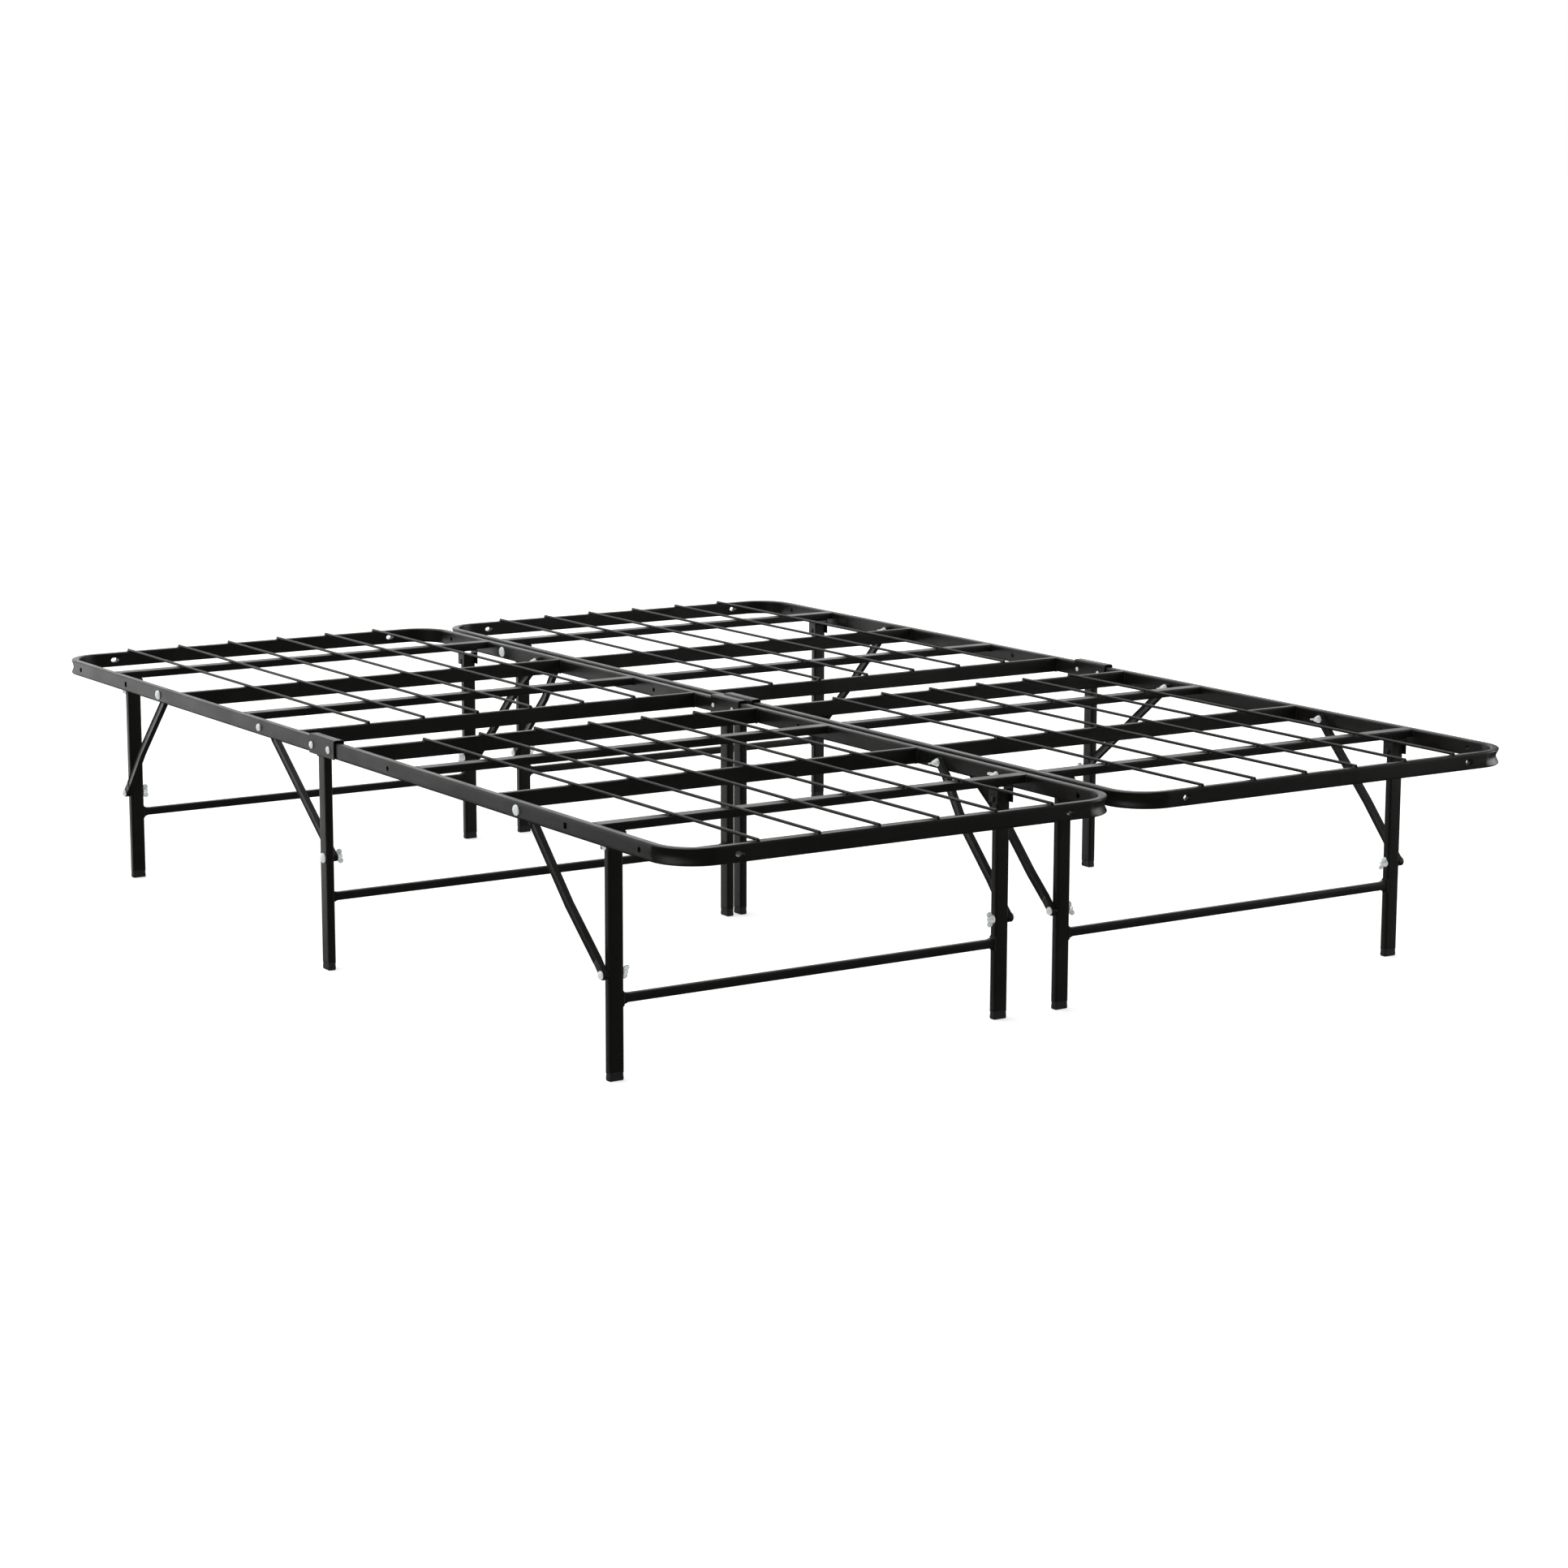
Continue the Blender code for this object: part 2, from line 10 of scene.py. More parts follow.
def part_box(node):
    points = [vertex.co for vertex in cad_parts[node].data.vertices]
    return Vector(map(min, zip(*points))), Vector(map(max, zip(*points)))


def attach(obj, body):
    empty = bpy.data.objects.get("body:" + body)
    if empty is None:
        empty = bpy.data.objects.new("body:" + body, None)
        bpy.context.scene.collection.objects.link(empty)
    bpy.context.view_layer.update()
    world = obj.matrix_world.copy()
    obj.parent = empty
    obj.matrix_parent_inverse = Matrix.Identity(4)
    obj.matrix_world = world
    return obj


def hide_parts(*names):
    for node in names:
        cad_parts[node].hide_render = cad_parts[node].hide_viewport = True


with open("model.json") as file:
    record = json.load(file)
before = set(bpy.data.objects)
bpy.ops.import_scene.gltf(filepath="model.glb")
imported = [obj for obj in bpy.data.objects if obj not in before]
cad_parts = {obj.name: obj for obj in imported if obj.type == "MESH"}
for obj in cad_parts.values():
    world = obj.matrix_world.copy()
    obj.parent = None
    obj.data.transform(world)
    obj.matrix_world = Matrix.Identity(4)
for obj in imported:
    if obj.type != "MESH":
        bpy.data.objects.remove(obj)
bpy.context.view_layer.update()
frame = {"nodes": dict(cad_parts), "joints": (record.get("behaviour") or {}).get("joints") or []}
scene = bpy.context.scene
print("frame loaded:", len(frame["nodes"]), "nodes")

# Each panel: unit, end, side of the hinge line and whether the unit is turned half a turn
panels = [("a", "head", 1, False), ("a", "foot", -1, False), ("b", "foot", 1, True), ("b", "head", -1, True)]
units = [("a", False), ("b", True)]
plusEnd = {"a": "head", "b": "foot"}  # the panel that the centre braces are bolted to

railLow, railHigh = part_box("rail_a_head")
railThick = 0.012
railMiddle = (railLow.z + railHigh.z) / 2
railInner = railLow.x + railThick  # inside face of the outer arm
farInner = railHigh.x - railThick  # inside face of the inner arm
legLow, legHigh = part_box("leg_frame_a_head")
centreLow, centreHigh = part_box("leg_frame_a_centre")
joints = {joint["name"]: joint for joint in frame["joints"]}
rivetY = joints["centre_a_fold"]["pos_m"][1]
endBoltY = joints["brace_a_head_outer_fold"]["pos_m"][1]
centreBoltY = joints["centre_brace_a_outer_swing"]["pos_m"][1]
legPivot = joints["leg_a_head_fold"]["pos_m"]
legWide = 0.0215
legThin = 0.012


# A flat rounded face in XY that a tube is pushed from
def tubeFace(bm, wide, tall, corner, steps):
    bmesh.ops.create_grid(bm, x_segments=1, y_segments=1, size=0.5)
    bmesh.ops.scale(bm, verts=bm.verts, vec=(wide, tall, 1))
    bmesh.ops.bevel(
        bm, geom=bm.verts[:], offset=corner, offset_type="OFFSET", segments=steps,
        profile=0.5, affect="VERTICES", material=-1,
    )
    bm.faces.ensure_lookup_table()
    return bm.faces[0]


def pushFace(bm, face, move):
    made = bmesh.ops.extrude_face_region(bm, geom=[face])["geom"]
    bmesh.ops.translate(bm, verts=[g for g in made if isinstance(g, bmesh.types.BMVert)], vec=move)
    return [g for g in made if isinstance(g, bmesh.types.BMFace)][0]


def spinFace(bm, face, centre, axis, angle, steps):
    made = bmesh.ops.spin(
        bm, geom=[face], cent=centre, axis=axis, angle=angle, steps=steps, use_duplicate=False
    )["geom_last"]
    return [g for g in made if isinstance(g, bmesh.types.BMFace)][0]


def turnAll(bm, angle, axis):
    bmesh.ops.rotate(bm, verts=bm.verts, cent=(0, 0, 0), matrix=Matrix.Rotation(angle, 3, axis))


def moveAll(bm, move):
    bmesh.ops.translate(bm, verts=bm.verts, vec=move)


def softenEdges(bm, edges, offset, segments=2, profile=0.5, clamp=True):
    bmesh.ops.bevel(
        bm, geom=edges, offset=offset, offset_type="OFFSET", segments=segments, profile=profile,
        affect="EDGES", material=-1, clamp_overlap=clamp,
    )


def sharpEdges(bm, least=1.2, most=4.0):
    return [e for e in bm.edges if len(e.link_faces) == 2 and least < e.calc_face_angle() < most]


# A ring of new edges where a plane crosses the shape
def sliceAt(bm, point, normal, near=1e-7):
    geom = bm.verts[:] + bm.edges[:] + bm.faces[:]
    bmesh.ops.bisect_plane(bm, geom=geom, dist=near, plane_co=point, plane_no=normal)


def closeShape(bm):
    bmesh.ops.remove_doubles(bm, verts=bm.verts, dist=1e-6)
    inside = [f for f in bm.faces if all(len(e.link_faces) > 2 for e in f.edges)]
    bmesh.ops.delete(bm, geom=inside, context="FACES_ONLY")  # walls left inside by the pushes
    bmesh.ops.recalc_face_normals(bm, faces=bm.faces)
    return bm


def addShape(bm, other):
    mesh = bpy.data.meshes.new("join")
    other.to_mesh(mesh)
    other.free()
    bm.from_mesh(mesh)
    bpy.data.meshes.remove(mesh)


lieAlongX = Matrix(((0, 0, 1, 0), (1, 0, 0, 0), (0, 1, 0, 0), (0, 0, 0, 1)))  # Z goes to X, X to Y, Y to Z


# A rounded bar between two corners, along the axis
def straightTube(low, high, axis, corner, steps=3):
    bm = bmesh.new()
    low = Vector(low)
    size = Vector(high) - low
    if axis == "Z":
        face = tubeFace(bm, size.x, size.y, corner, steps)
        face = pushFace(bm, face, (0, 0, size.z))
        moveAll(bm, (low.x + size.x / 2, low.y + size.y / 2, low.z))
    else:
        face = tubeFace(bm, size.y, size.z, corner, steps)
        face = pushFace(bm, face, (0, 0, size.x))
        bmesh.ops.transform(bm, matrix=lieAlongX, verts=bm.verts)
        moveAll(bm, (low.x, low.y + size.y / 2, low.z + size.z / 2))
    return closeShape(bm)


# A profile of (distance along X, radius) points spun about X into a closed shape
def turnedShape(profile, steps=28):
    bm = bmesh.new()
    points = [bm.verts.new((along, radius, 0)) for along, radius in profile]
    lines = [bm.edges.new(pair) for pair in zip(points, points[1:])]
    bmesh.ops.spin(
        bm, geom=points + lines, cent=(0, 0, 0), axis=(1, 0, 0), angle=math.tau, steps=steps,
        use_merge=True, use_duplicate=False,
    )
    return closeShape(bm)


def barBetween(low, high, soften=0.0):
    bm = bmesh.new()
    low, high = Vector(low), Vector(high)
    size = Matrix.Diagonal((*(high - low), 1))
    bmesh.ops.create_cube(bm, size=1, matrix=Matrix.Translation((low + high) / 2) @ size)
    if soften:
        softenEdges(bm, bm.edges[:], soften, clamp=False)
    return bm


# A cutter along X; spread pulls it into an oblong along Y
def roundHole(x0, x1, y, z, radius, spread=0.0):
    bm = bmesh.new()
    bmesh.ops.create_cone(bm, cap_ends=True, segments=28, radius1=radius, radius2=radius, depth=x1 - x0)
    turnAll(bm, math.pi / 2, "Y")
    for side in (1, -1):
        half = [v for v in bm.verts if v.co.y * side > 1e-5]
        bmesh.ops.translate(bm, verts=half, vec=(0, side * spread, 0))
    moveAll(bm, ((x0 + x1) / 2, y, z))
    return bm


def meshFrom(bm, name):
    mesh = bpy.data.meshes.new(name)
    bm.to_mesh(mesh)
    bm.free()
    return mesh


# The body with the cutters taken out of it
def cutMesh(body, cutters, name):
    solid = bpy.data.objects.new(name, meshFrom(body, name))
    tool = bpy.data.objects.new(name + "Tool", meshFrom(cutters, name + "Tool"))
    for obj in (solid, tool):
        scene.collection.objects.link(obj)
    cut = solid.modifiers.new("cut", "BOOLEAN")
    cut.operation = "DIFFERENCE"
    cut.solver = "EXACT"
    cut.object = tool
    bpy.context.view_layer.update()
    mesh = bpy.data.meshes.new_from_object(solid.evaluated_get(bpy.context.evaluated_depsgraph_get()))
    for obj in (solid, tool):
        bpy.data.objects.remove(obj, do_unlink=True)
    bm = bmesh.new()
    bm.from_mesh(mesh)
    return bm


# A sheet bent into an inverted U, open below and at both ends
def channelSheet(low, high, wall, bend, soften=0.0004):
    halves = []
    steps = 6
    for radius in (bend, bend - wall):
        half = [(low[0] + bend - radius, low[2])]
        for step in range(steps + 1):
            angle = math.pi / 2 * step / steps
            half.append((low[0] + bend - radius * math.cos(angle), high[2] - bend + radius * math.sin(angle)))
        halves.append(half)
    outer, inner = halves
    width = low[0] + high[0]
    points = outer + [(width - x, z) for x, z in reversed(outer)]
    points += [(width - x, z) for x, z in inner] + inner[::-1]
    bm = bmesh.new()
    face = bm.faces.new([bm.verts.new((x, low[1], z)) for x, z in points])
    pushFace(bm, face, (0, high[1] - low[1], 0))
    bmesh.ops.recalc_face_normals(bm, faces=bm.faces)
    softenEdges(bm, sharpEdges(bm), soften)
    return closeShape(bm)


weldSettings = {"length": 0.0030, "overlap": 0.6, "width": 0.0030, "jitter": 0.25, "seed": 11}
weldRandom = random.Random(weldSettings["seed"])


# Overlapping small drops from start to end, like a hand-laid weld
def weldBead(bm, start, end, width=1.0):
    start, end = Vector(start), Vector(end)
    run = end - start
    count = max(2, round(run.length / (weldSettings["length"] * weldSettings["overlap"])))
    for index in range(count):
        drop = bmesh.new()
        bmesh.ops.create_uvsphere(drop, u_segments=8, v_segments=5, radius=weldSettings["width"] / 2 * width)
        size = [1 + weldRandom.uniform(-1, 1) * weldSettings["jitter"] for _ in range(3)]
        bmesh.ops.scale(drop, verts=drop.verts, vec=size)
        moveAll(drop, start + run * (index / (count - 1)))
        addShape(bm, drop)


# One flattened drop of weld
def nugget(bm, centre, size):
    drop = bmesh.new()
    bmesh.ops.create_uvsphere(drop, u_segments=12, v_segments=7, radius=1)
    bmesh.ops.scale(drop, verts=drop.verts, vec=size)
    moveAll(drop, centre)
    addShape(bm, drop)


def groupSockets(group, inputs, outputs):
    for name, kind, value in inputs:
        socket = group.interface.new_socket(name=name, in_out="INPUT", socket_type=kind)
        if value is not None:
            socket.default_value = value
    for name, kind in outputs:
        group.interface.new_socket(name=name, in_out="OUTPUT", socket_type=kind)
    return group.nodes.new("NodeGroupInput"), group.nodes.new("NodeGroupOutput")


def mathNode(nodes, links, operation, first, second):
    node = nodes.new("ShaderNodeMath")
    node.operation = operation
    for socket, value in zip(node.inputs, (first, second)):
        if isinstance(value, (int, float)):
            socket.default_value = value
        else:
            links.new(value, socket)
    return node.outputs[0]


def noiseNode(nodes, links, vector, scale, detail, rough=0.5):
    node = nodes.new("ShaderNodeTexNoise")
    node.inputs["Detail"].default_value = detail
    node.inputs["Roughness"].default_value = rough
    links.new(vector, node.inputs["Vector"])
    if isinstance(scale, (int, float)):
        node.inputs["Scale"].default_value = scale
    else:
        links.new(scale, node.inputs["Scale"])
    return node.outputs["Fac"]


def rampNode(nodes, links, value, low, high, lowOut=0.0, highOut=1.0):
    node = nodes.new("ShaderNodeMapRange")
    node.inputs["From Min"].default_value = low
    node.inputs["From Max"].default_value = high
    node.inputs["To Min"].default_value = lowOut
    node.inputs["To Max"].default_value = highOut
    links.new(value, node.inputs["Value"])
    return node.outputs["Result"]


# Grain of a sprayed or moulded surface: a height and a broad cloudy mask
def makeOrangePeel():
    group = bpy.data.node_groups.new("orangePeel", "ShaderNodeTree")
    nodes, links = group.nodes, group.links
    inputs, outputs = groupSockets(
        group,
        [("Vector", "NodeSocketVector", None), ("Grain", "NodeSocketFloat", 700.0)],
        [("Height", "NodeSocketFloat"), ("Clouds", "NodeSocketFloat")],
    )
    coarse = noiseNode(nodes, links, inputs.outputs["Vector"], inputs.outputs["Grain"], 2.0, 0.55)
    fine = noiseNode(
        nodes, links, inputs.outputs["Vector"],
        mathNode(nodes, links, "MULTIPLY", inputs.outputs["Grain"], 3.1), 1.0,
    )
    height = mathNode(nodes, links, "ADD", coarse, mathNode(nodes, links, "MULTIPLY", fine, 0.35))
    links.new(height, outputs.inputs["Height"])
    links.new(noiseNode(nodes, links, inputs.outputs["Vector"], 14.0, 4.0), outputs.inputs["Clouds"])
    return group


# Thin hairline rubs, gathered in a few patches, as a mask
def makeScuffs():
    group = bpy.data.node_groups.new("handlingScuffs", "ShaderNodeTree")
    nodes, links = group.nodes, group.links
    inputs, outputs = groupSockets(
        group,
        [("Vector", "NodeSocketVector", None), ("Amount", "NodeSocketFloat", 0.5)],
        [("Mask", "NodeSocketFloat")],
    )
    stretch = nodes.new("ShaderNodeVectorMath")
    stretch.operation = "MULTIPLY"
    stretch.inputs[1].default_value = (260.0, 34.0, 420.0)
    links.new(inputs.outputs["Vector"], stretch.inputs[0])
    rubs = rampNode(nodes, links, noiseNode(nodes, links, stretch.outputs[0], 1.0, 2.0), 0.66, 0.74)
    patches = rampNode(nodes, links, noiseNode(nodes, links, inputs.outputs["Vector"], 9.0, 2.0), 0.48, 0.62)
    both = mathNode(nodes, links, "MULTIPLY", rubs, patches)
    links.new(mathNode(nodes, links, "MULTIPLY", both, inputs.outputs["Amount"]), outputs.inputs["Mask"])
    return group


# Fine dust on faces that look up, as a mask
def makeSettledDust():
    group = bpy.data.node_groups.new("settledDust", "ShaderNodeTree")
    nodes, links = group.nodes, group.links
    inputs, outputs = groupSockets(
        group,
        [("Vector", "NodeSocketVector", None), ("Amount", "NodeSocketFloat", 0.2)],
        [("Mask", "NodeSocketFloat")],
    )
    geometry = nodes.new("ShaderNodeNewGeometry")
    split = nodes.new("ShaderNodeSeparateXYZ")
    links.new(geometry.outputs["Normal"], split.inputs[0])
    up = rampNode(nodes, links, split.outputs["Z"], 0.5, 0.95)
    cloud = noiseNode(nodes, links, inputs.outputs["Vector"], 46.0, 6.0, 0.7)
    specks = rampNode(nodes, links, cloud, 0.42, 0.72)
    both = mathNode(nodes, links, "MULTIPLY", up, specks)
    links.new(mathNode(nodes, links, "MULTIPLY", both, inputs.outputs["Amount"]), outputs.inputs["Mask"])
    return group


orangePeel = makeOrangePeel()
handlingScuffs = makeScuffs()
settledDust = makeSettledDust()


def groupNode(nodes, links, group, vector, values):
    node = nodes.new("ShaderNodeGroup")
    node.node_tree = group
    links.new(vector, node.inputs["Vector"])
    for name, value in values.items():
        node.inputs[name].default_value = value
    return node


def mixColours(nodes, links, factor, first, second):
    node = nodes.new("ShaderNodeMix")
    node.data_type = "RGBA"
    for socket, value in ((node.inputs[6], first), (node.inputs[7], second)):
        if isinstance(value, tuple):
            socket.default_value = (*value, 1)
        else:
            links.new(value, socket)
    links.new(factor, node.inputs[0])
    return node.outputs[2]


def makeFinish(name, settings):
    material = bpy.data.materials.new(name)
    material.use_nodes = True
    nodes, links = material.node_tree.nodes, material.node_tree.links
    shader = nodes["Principled BSDF"]
    vector = nodes.new("ShaderNodeTexCoord").outputs["Object"]
    grain = groupNode(nodes, links, orangePeel, vector, {"Grain": settings["grain"]})
    scuffs = groupNode(nodes, links, handlingScuffs, vector, {"Amount": settings["scuffs"]})
    dust = groupNode(nodes, links, settledDust, vector, {"Amount": settings["dust"]})
    colour = mixColours(nodes, links, grain.outputs["Clouds"], settings["dark"], settings["light"])
    colour = mixColours(nodes, links, scuffs.outputs["Mask"], colour, settings["rubbed"])
    colour = mixColours(nodes, links, dust.outputs["Mask"], colour, settings["dustColour"])
    links.new(colour, shader.inputs["Base Color"])
    low, high = settings["roughness"]
    rough = rampNode(nodes, links, grain.outputs["Clouds"], 0.3, 0.7, low, high)
    matt = mathNode(nodes, links, "MULTIPLY", dust.outputs["Mask"], 0.3)
    rough = mathNode(nodes, links, "ADD", rough, matt)
    links.new(rough, shader.inputs["Roughness"])
    bump = nodes.new("ShaderNodeBump")
    bump.inputs["Strength"].default_value = settings["bump"]
    bump.inputs["Distance"].default_value = settings["depth"]
    links.new(grain.outputs["Height"], bump.inputs["Height"])
    links.new(bump.outputs["Normal"], shader.inputs["Normal"])
    shader.inputs["Metallic"].default_value = settings["metallic"]
    shader.inputs["IOR"].default_value = settings["ior"]
    return material


finishes = {
    "black_powder_coat": makeFinish("satinBlackPowder", {
        "dark": (0.0034, 0.0030, 0.0023), "light": (0.0060, 0.0054, 0.0044), "rubbed": (0.030, 0.029, 0.027),
        "dustColour": (0.07, 0.068, 0.062), "grain": 620.0, "scuffs": 0.4, "dust": 0.12,
        "roughness": (0.34, 0.44), "bump": 0.35, "depth": 0.00035, "metallic": 0.0, "ior": 1.5,
    }),
    "zinc_hardware": makeFinish("brightZinc", {
        "dark": (0.66, 0.71, 0.71), "light": (0.90, 0.94, 0.93), "rubbed": (0.42, 0.44, 0.44),
        "dustColour": (0.5, 0.5, 0.48), "grain": 900.0, "scuffs": 0.8, "dust": 0.05,
        "roughness": (0.30, 0.44), "bump": 0.22, "depth": 0.0002, "metallic": 0.15, "ior": 1.6,
    }),
    "foot_plastic": makeFinish("mattBlackPlastic", {
        "dark": (0.008, 0.008, 0.008), "light": (0.013, 0.013, 0.013), "rubbed": (0.05, 0.05, 0.05),
        "dustColour": (0.09, 0.088, 0.08), "grain": 1400.0, "scuffs": 0.7, "dust": 0.1,
        "roughness": (0.50, 0.62), "bump": 0.3, "depth": 0.00025, "metallic": 0.0, "ior": 1.48,
    }),
}
print("finishes made:", len(finishes))


# A finished piece in its place: mirrored for the -Y panel, turned for unit b
def addPiece(mesh, name, body, slot, nodes=(), side=1, turned=False, sharp=38):
    own = mesh.copy()
    own.name = name
    if side < 0:
        own.transform(Matrix.Scale(-1, 4, (0, 1, 0)))
        own.flip_normals()
    if turned:
        own.transform(Matrix.Rotation(math.pi, 4, "Z"))
    own.shade_smooth()
    own.set_sharp_from_angle(angle=math.radians(sharp))
    own.materials.clear()
    own.materials.append(finishes[slot])
    piece = bpy.data.objects.new(name, own)
    scene.collection.objects.link(piece)
    even = piece.modifiers.new("evenShading", "WEIGHTED_NORMAL")
    even.keep_sharp = True
    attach(piece, body)
    if nodes:
        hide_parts(*nodes)
    return piece


railSettings = {
    "corner": 0.0024, "cornerSteps": 3, "wallCuts": 5, "bendRadius": 0.060, "bendSteps": 18,
    "pinch": 0.0042, "pinchFall": 0.7, "endRound": 0.0090, "endBlunt": 0.98,
    "roundHoles": [(centreBoltY, 0.0034), (endBoltY, 0.0034), (0.866, 0.0038)],  # places and radii
    "squareY": 0.687, "square": 0.0078, "slotInset": 0.090, "slot": (0.0036, 0.0032), "cutPast": 0.004,
}


def railShape():
    s = railSettings
    bm = bmesh.new()
    face = tubeFace(bm, railThick, railHigh.z - railLow.z, s["corner"], s["cornerSteps"])
    turnAll(bm, math.pi / 2, "X")
    start = railLow.y
    bendStart = railHigh.y - s["bendRadius"]
    moveAll(bm, (railLow.x + railThick / 2, start, railMiddle))
    left = railLow.x + s["bendRadius"]
    right = railHigh.x - s["bendRadius"]
    face = pushFace(bm, face, (0, bendStart - start, 0))
    face = spinFace(bm, face, (left, bendStart, 0), (0, 0, 1), -math.pi / 2, s["bendSteps"])
    face = pushFace(bm, face, (right - left, 0, 0))
    face = spinFace(bm, face, (right, bendStart, 0), (0, 0, 1), -math.pi / 2, s["bendSteps"])
    pushFace(bm, face, (0, start - bendStart, 0))
    closeShape(bm)
    half = (railHigh.z - railLow.z) / 2
    for step in range(1, s["wallCuts"] + 1):
        height = railLow.z + s["corner"] + (2 * half - 2 * s["corner"]) * step / (s["wallCuts"] + 1)
        sliceAt(bm, (0, 0, height), (0, 0, 1), 1e-5)
    for vertex in bm.verts:
        beyond = vertex.co.y - bendStart
        for centre, sign in ((left, -1), (right, 1)):
            across = (vertex.co.x - centre) * sign
            reach = math.hypot(beyond, across)
            if beyond < 1e-5 or across < 1e-5 or reach < s["bendRadius"] - 0.0004:
                continue
            swing = math.sin(2 * math.atan2(beyond, across)) ** s["pinchFall"]
            drawn = s["pinch"] * swing * math.cos((vertex.co.z - railMiddle) / half * math.pi / 2) ** 2
            vertex.co.x -= sign * across / reach * drawn
            vertex.co.y -= beyond / reach * drawn
    for vertex in bm.verts:  # rounded ends, so that the rails can turn in the brackets
        if abs(vertex.co.y - start) < 1e-5:
            drop = min(1.0, abs(vertex.co.z - railMiddle) / half)
            vertex.co.y += s["endRound"] * (1 - math.sqrt(1 - drop * drop * s["endBlunt"]))
    return closeShape(bm)


def railCutters():
    s = railSettings
    tool = bmesh.new()
    for face in (railLow.x, farInner):
        low, high = face - s["cutPast"], face + railThick + s["cutPast"]
        for place, radius in s["roundHoles"]:
            addShape(tool, roundHole(low, high, place, railMiddle, radius))
        half = s["square"] / 2
        addShape(tool, barBetween(
            (low, s["squareY"] - half, railMiddle - half), (high, s["squareY"] + half, railMiddle + half),
        ))
    for x in (railLow.x + s["slotInset"], railHigh.x - s["slotInset"]):
        oval = roundHole(-railThick, railThick, 0, 0, s["slot"][0], s["slot"][1])
        turnAll(oval, math.pi / 2, "Z")
        moveAll(oval, (x, railHigh.y - railThick / 2, railMiddle))
        addShape(tool, oval)
    return tool


railMesh = meshFrom(cutMesh(railShape(), railCutters(), "rail"), "railTube")
for unit, end, side, turned in panels:
    addPiece(railMesh, f"rail_tube_{unit}_{end}", end + "_section", "black_powder_coat",
             [f"rail_{unit}_{end}"], side, turned)
print("rails made")


slatSettings = {"corner": 0.0022, "reachIn": 0.0004, "seamInset": 0.0016, "seamTop": 0.003, "seamWidth": 0.9,
                "underWidth": 0.7, "nugget": (0.0034, 0.0011, 0.0030), "nuggetIn": 0.004, "nuggetUp": 0.006}


# A slat's tube between the two arms, with a bead up each side and one below at both ends
def slatTube(lowY, highY, lowZ):
    s = slatSettings
    bm = straightTube((railInner - s["reachIn"], lowY, lowZ), (farInner + s["reachIn"], highY, railHigh.z),
                      "X", s["corner"])
    inset = s["seamInset"]
    for x in (railInner, farInner):
        for y in (lowY, highY):
            weldBead(bm, (x, y, lowZ + inset), (x, y, railHigh.z - s["seamTop"]), s["seamWidth"])
        weldBead(bm, (x, lowY + inset, lowZ), (x, highY - inset, lowZ), s["underWidth"])
    return bm


def slatShape(node):
    low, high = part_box(node)
    bm = slatTube(low.y, high.y, low.z)
    for x in (railInner + slatSettings["nuggetIn"], farInner - slatSettings["nuggetIn"]):
        nugget(bm, (x, low.y, low.z + slatSettings["nuggetUp"]), slatSettings["nugget"])
    return bm


hangerSettings = {"gap": 0.0004, "wall": 0.002, "bend": 0.0026, "depth": 0.020, "below": 0.296,
                  "slatTall": 0.011, "slatWide": 0.022, "seamInset": 0.0015, "seam": 0.75, "seamEnd": 0.003}


def hangerSlatShape():
    s = hangerSettings
    low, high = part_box("hanger_slat_a_head")
    tubeLow = railHigh.z - s["slatTall"]
    half = s["slatWide"] / 2
    middle = (low.y + high.y) / 2
    start = (railInner - slatSettings["reachIn"], middle - half, tubeLow)
    end = (farInner + slatSettings["reachIn"], middle + half, railHigh.z)
    bm = straightTube(start, end, "X", slatSettings["corner"])
    for x in (railInner, farInner):
        for y in (middle - half, middle + half):
            weldBead(bm, (x, y, tubeLow + s["seamInset"]), (x, y, railHigh.z - slatSettings["seamTop"]),
                     slatSettings["seamWidth"])
    for legStart in (legLow.x, legHigh.x - legWide):
        left = legStart - s["gap"] - s["wall"]
        right = legStart + legWide + s["gap"] + s["wall"]
        addShape(bm, channelSheet((left, middle - s["depth"] / 2, s["below"]),
                                  (right, middle + s["depth"] / 2, tubeLow + 0.0001), s["wall"], s["bend"]))
        for y in (middle - s["depth"] / 2, middle + s["depth"] / 2):
            weldBead(bm, (left + s["seamEnd"], y, tubeLow), (right - s["seamEnd"], y, tubeLow), s["seam"])
    return bm


wireSettings = {"radius": 0.0021, "spacing": 0.089, "count": 6, "height": 0.3339, "start": 0.084,
                "end": 0.9500, "sides": 14, "wander": 0.0006, "pieces": 24, "blunt": 0.00084, "slatY": 0.088,
                "slatWide": 0.011, "drop": (0.0022, 0.0038, 0.0014), "dropOut": 0.00168, "dropUp": 0.0002}


# One straight support wire, very slightly out of true, with blunt rounded ends
def wireShape(x):
    s = wireSettings
    bm = bmesh.new()
    bmesh.ops.create_circle(bm, cap_ends=True, segments=s["sides"], radius=s["radius"])
    turnAll(bm, math.pi / 2, "X")
    moveAll(bm, (x, s["start"], s["height"]))
    bm.faces.ensure_lookup_table()
    face = bm.faces[0]
    for _ in range(s["pieces"]):
        face = pushFace(bm, face, (0, (s["end"] - s["start"]) / s["pieces"], 0))
    closeShape(bm)
    phase = weldRandom.uniform(0, math.tau)
    for vertex in bm.verts:
        share = (vertex.co.y - s["start"]) / (s["end"] - s["start"])
        vertex.co.x += s["wander"] * math.sin(phase + share * 7.0) * math.sin(math.pi * share)
    softenEdges(bm, sharpEdges(bm), s["blunt"])
    return bm


def middleY(node):
    low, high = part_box(node)
    return (low.y + high.y) / 2


slatCrossings = [middleY(kind + "_a_head") for kind in ("deep_slat", "flat_slat", "hanger_slat")]


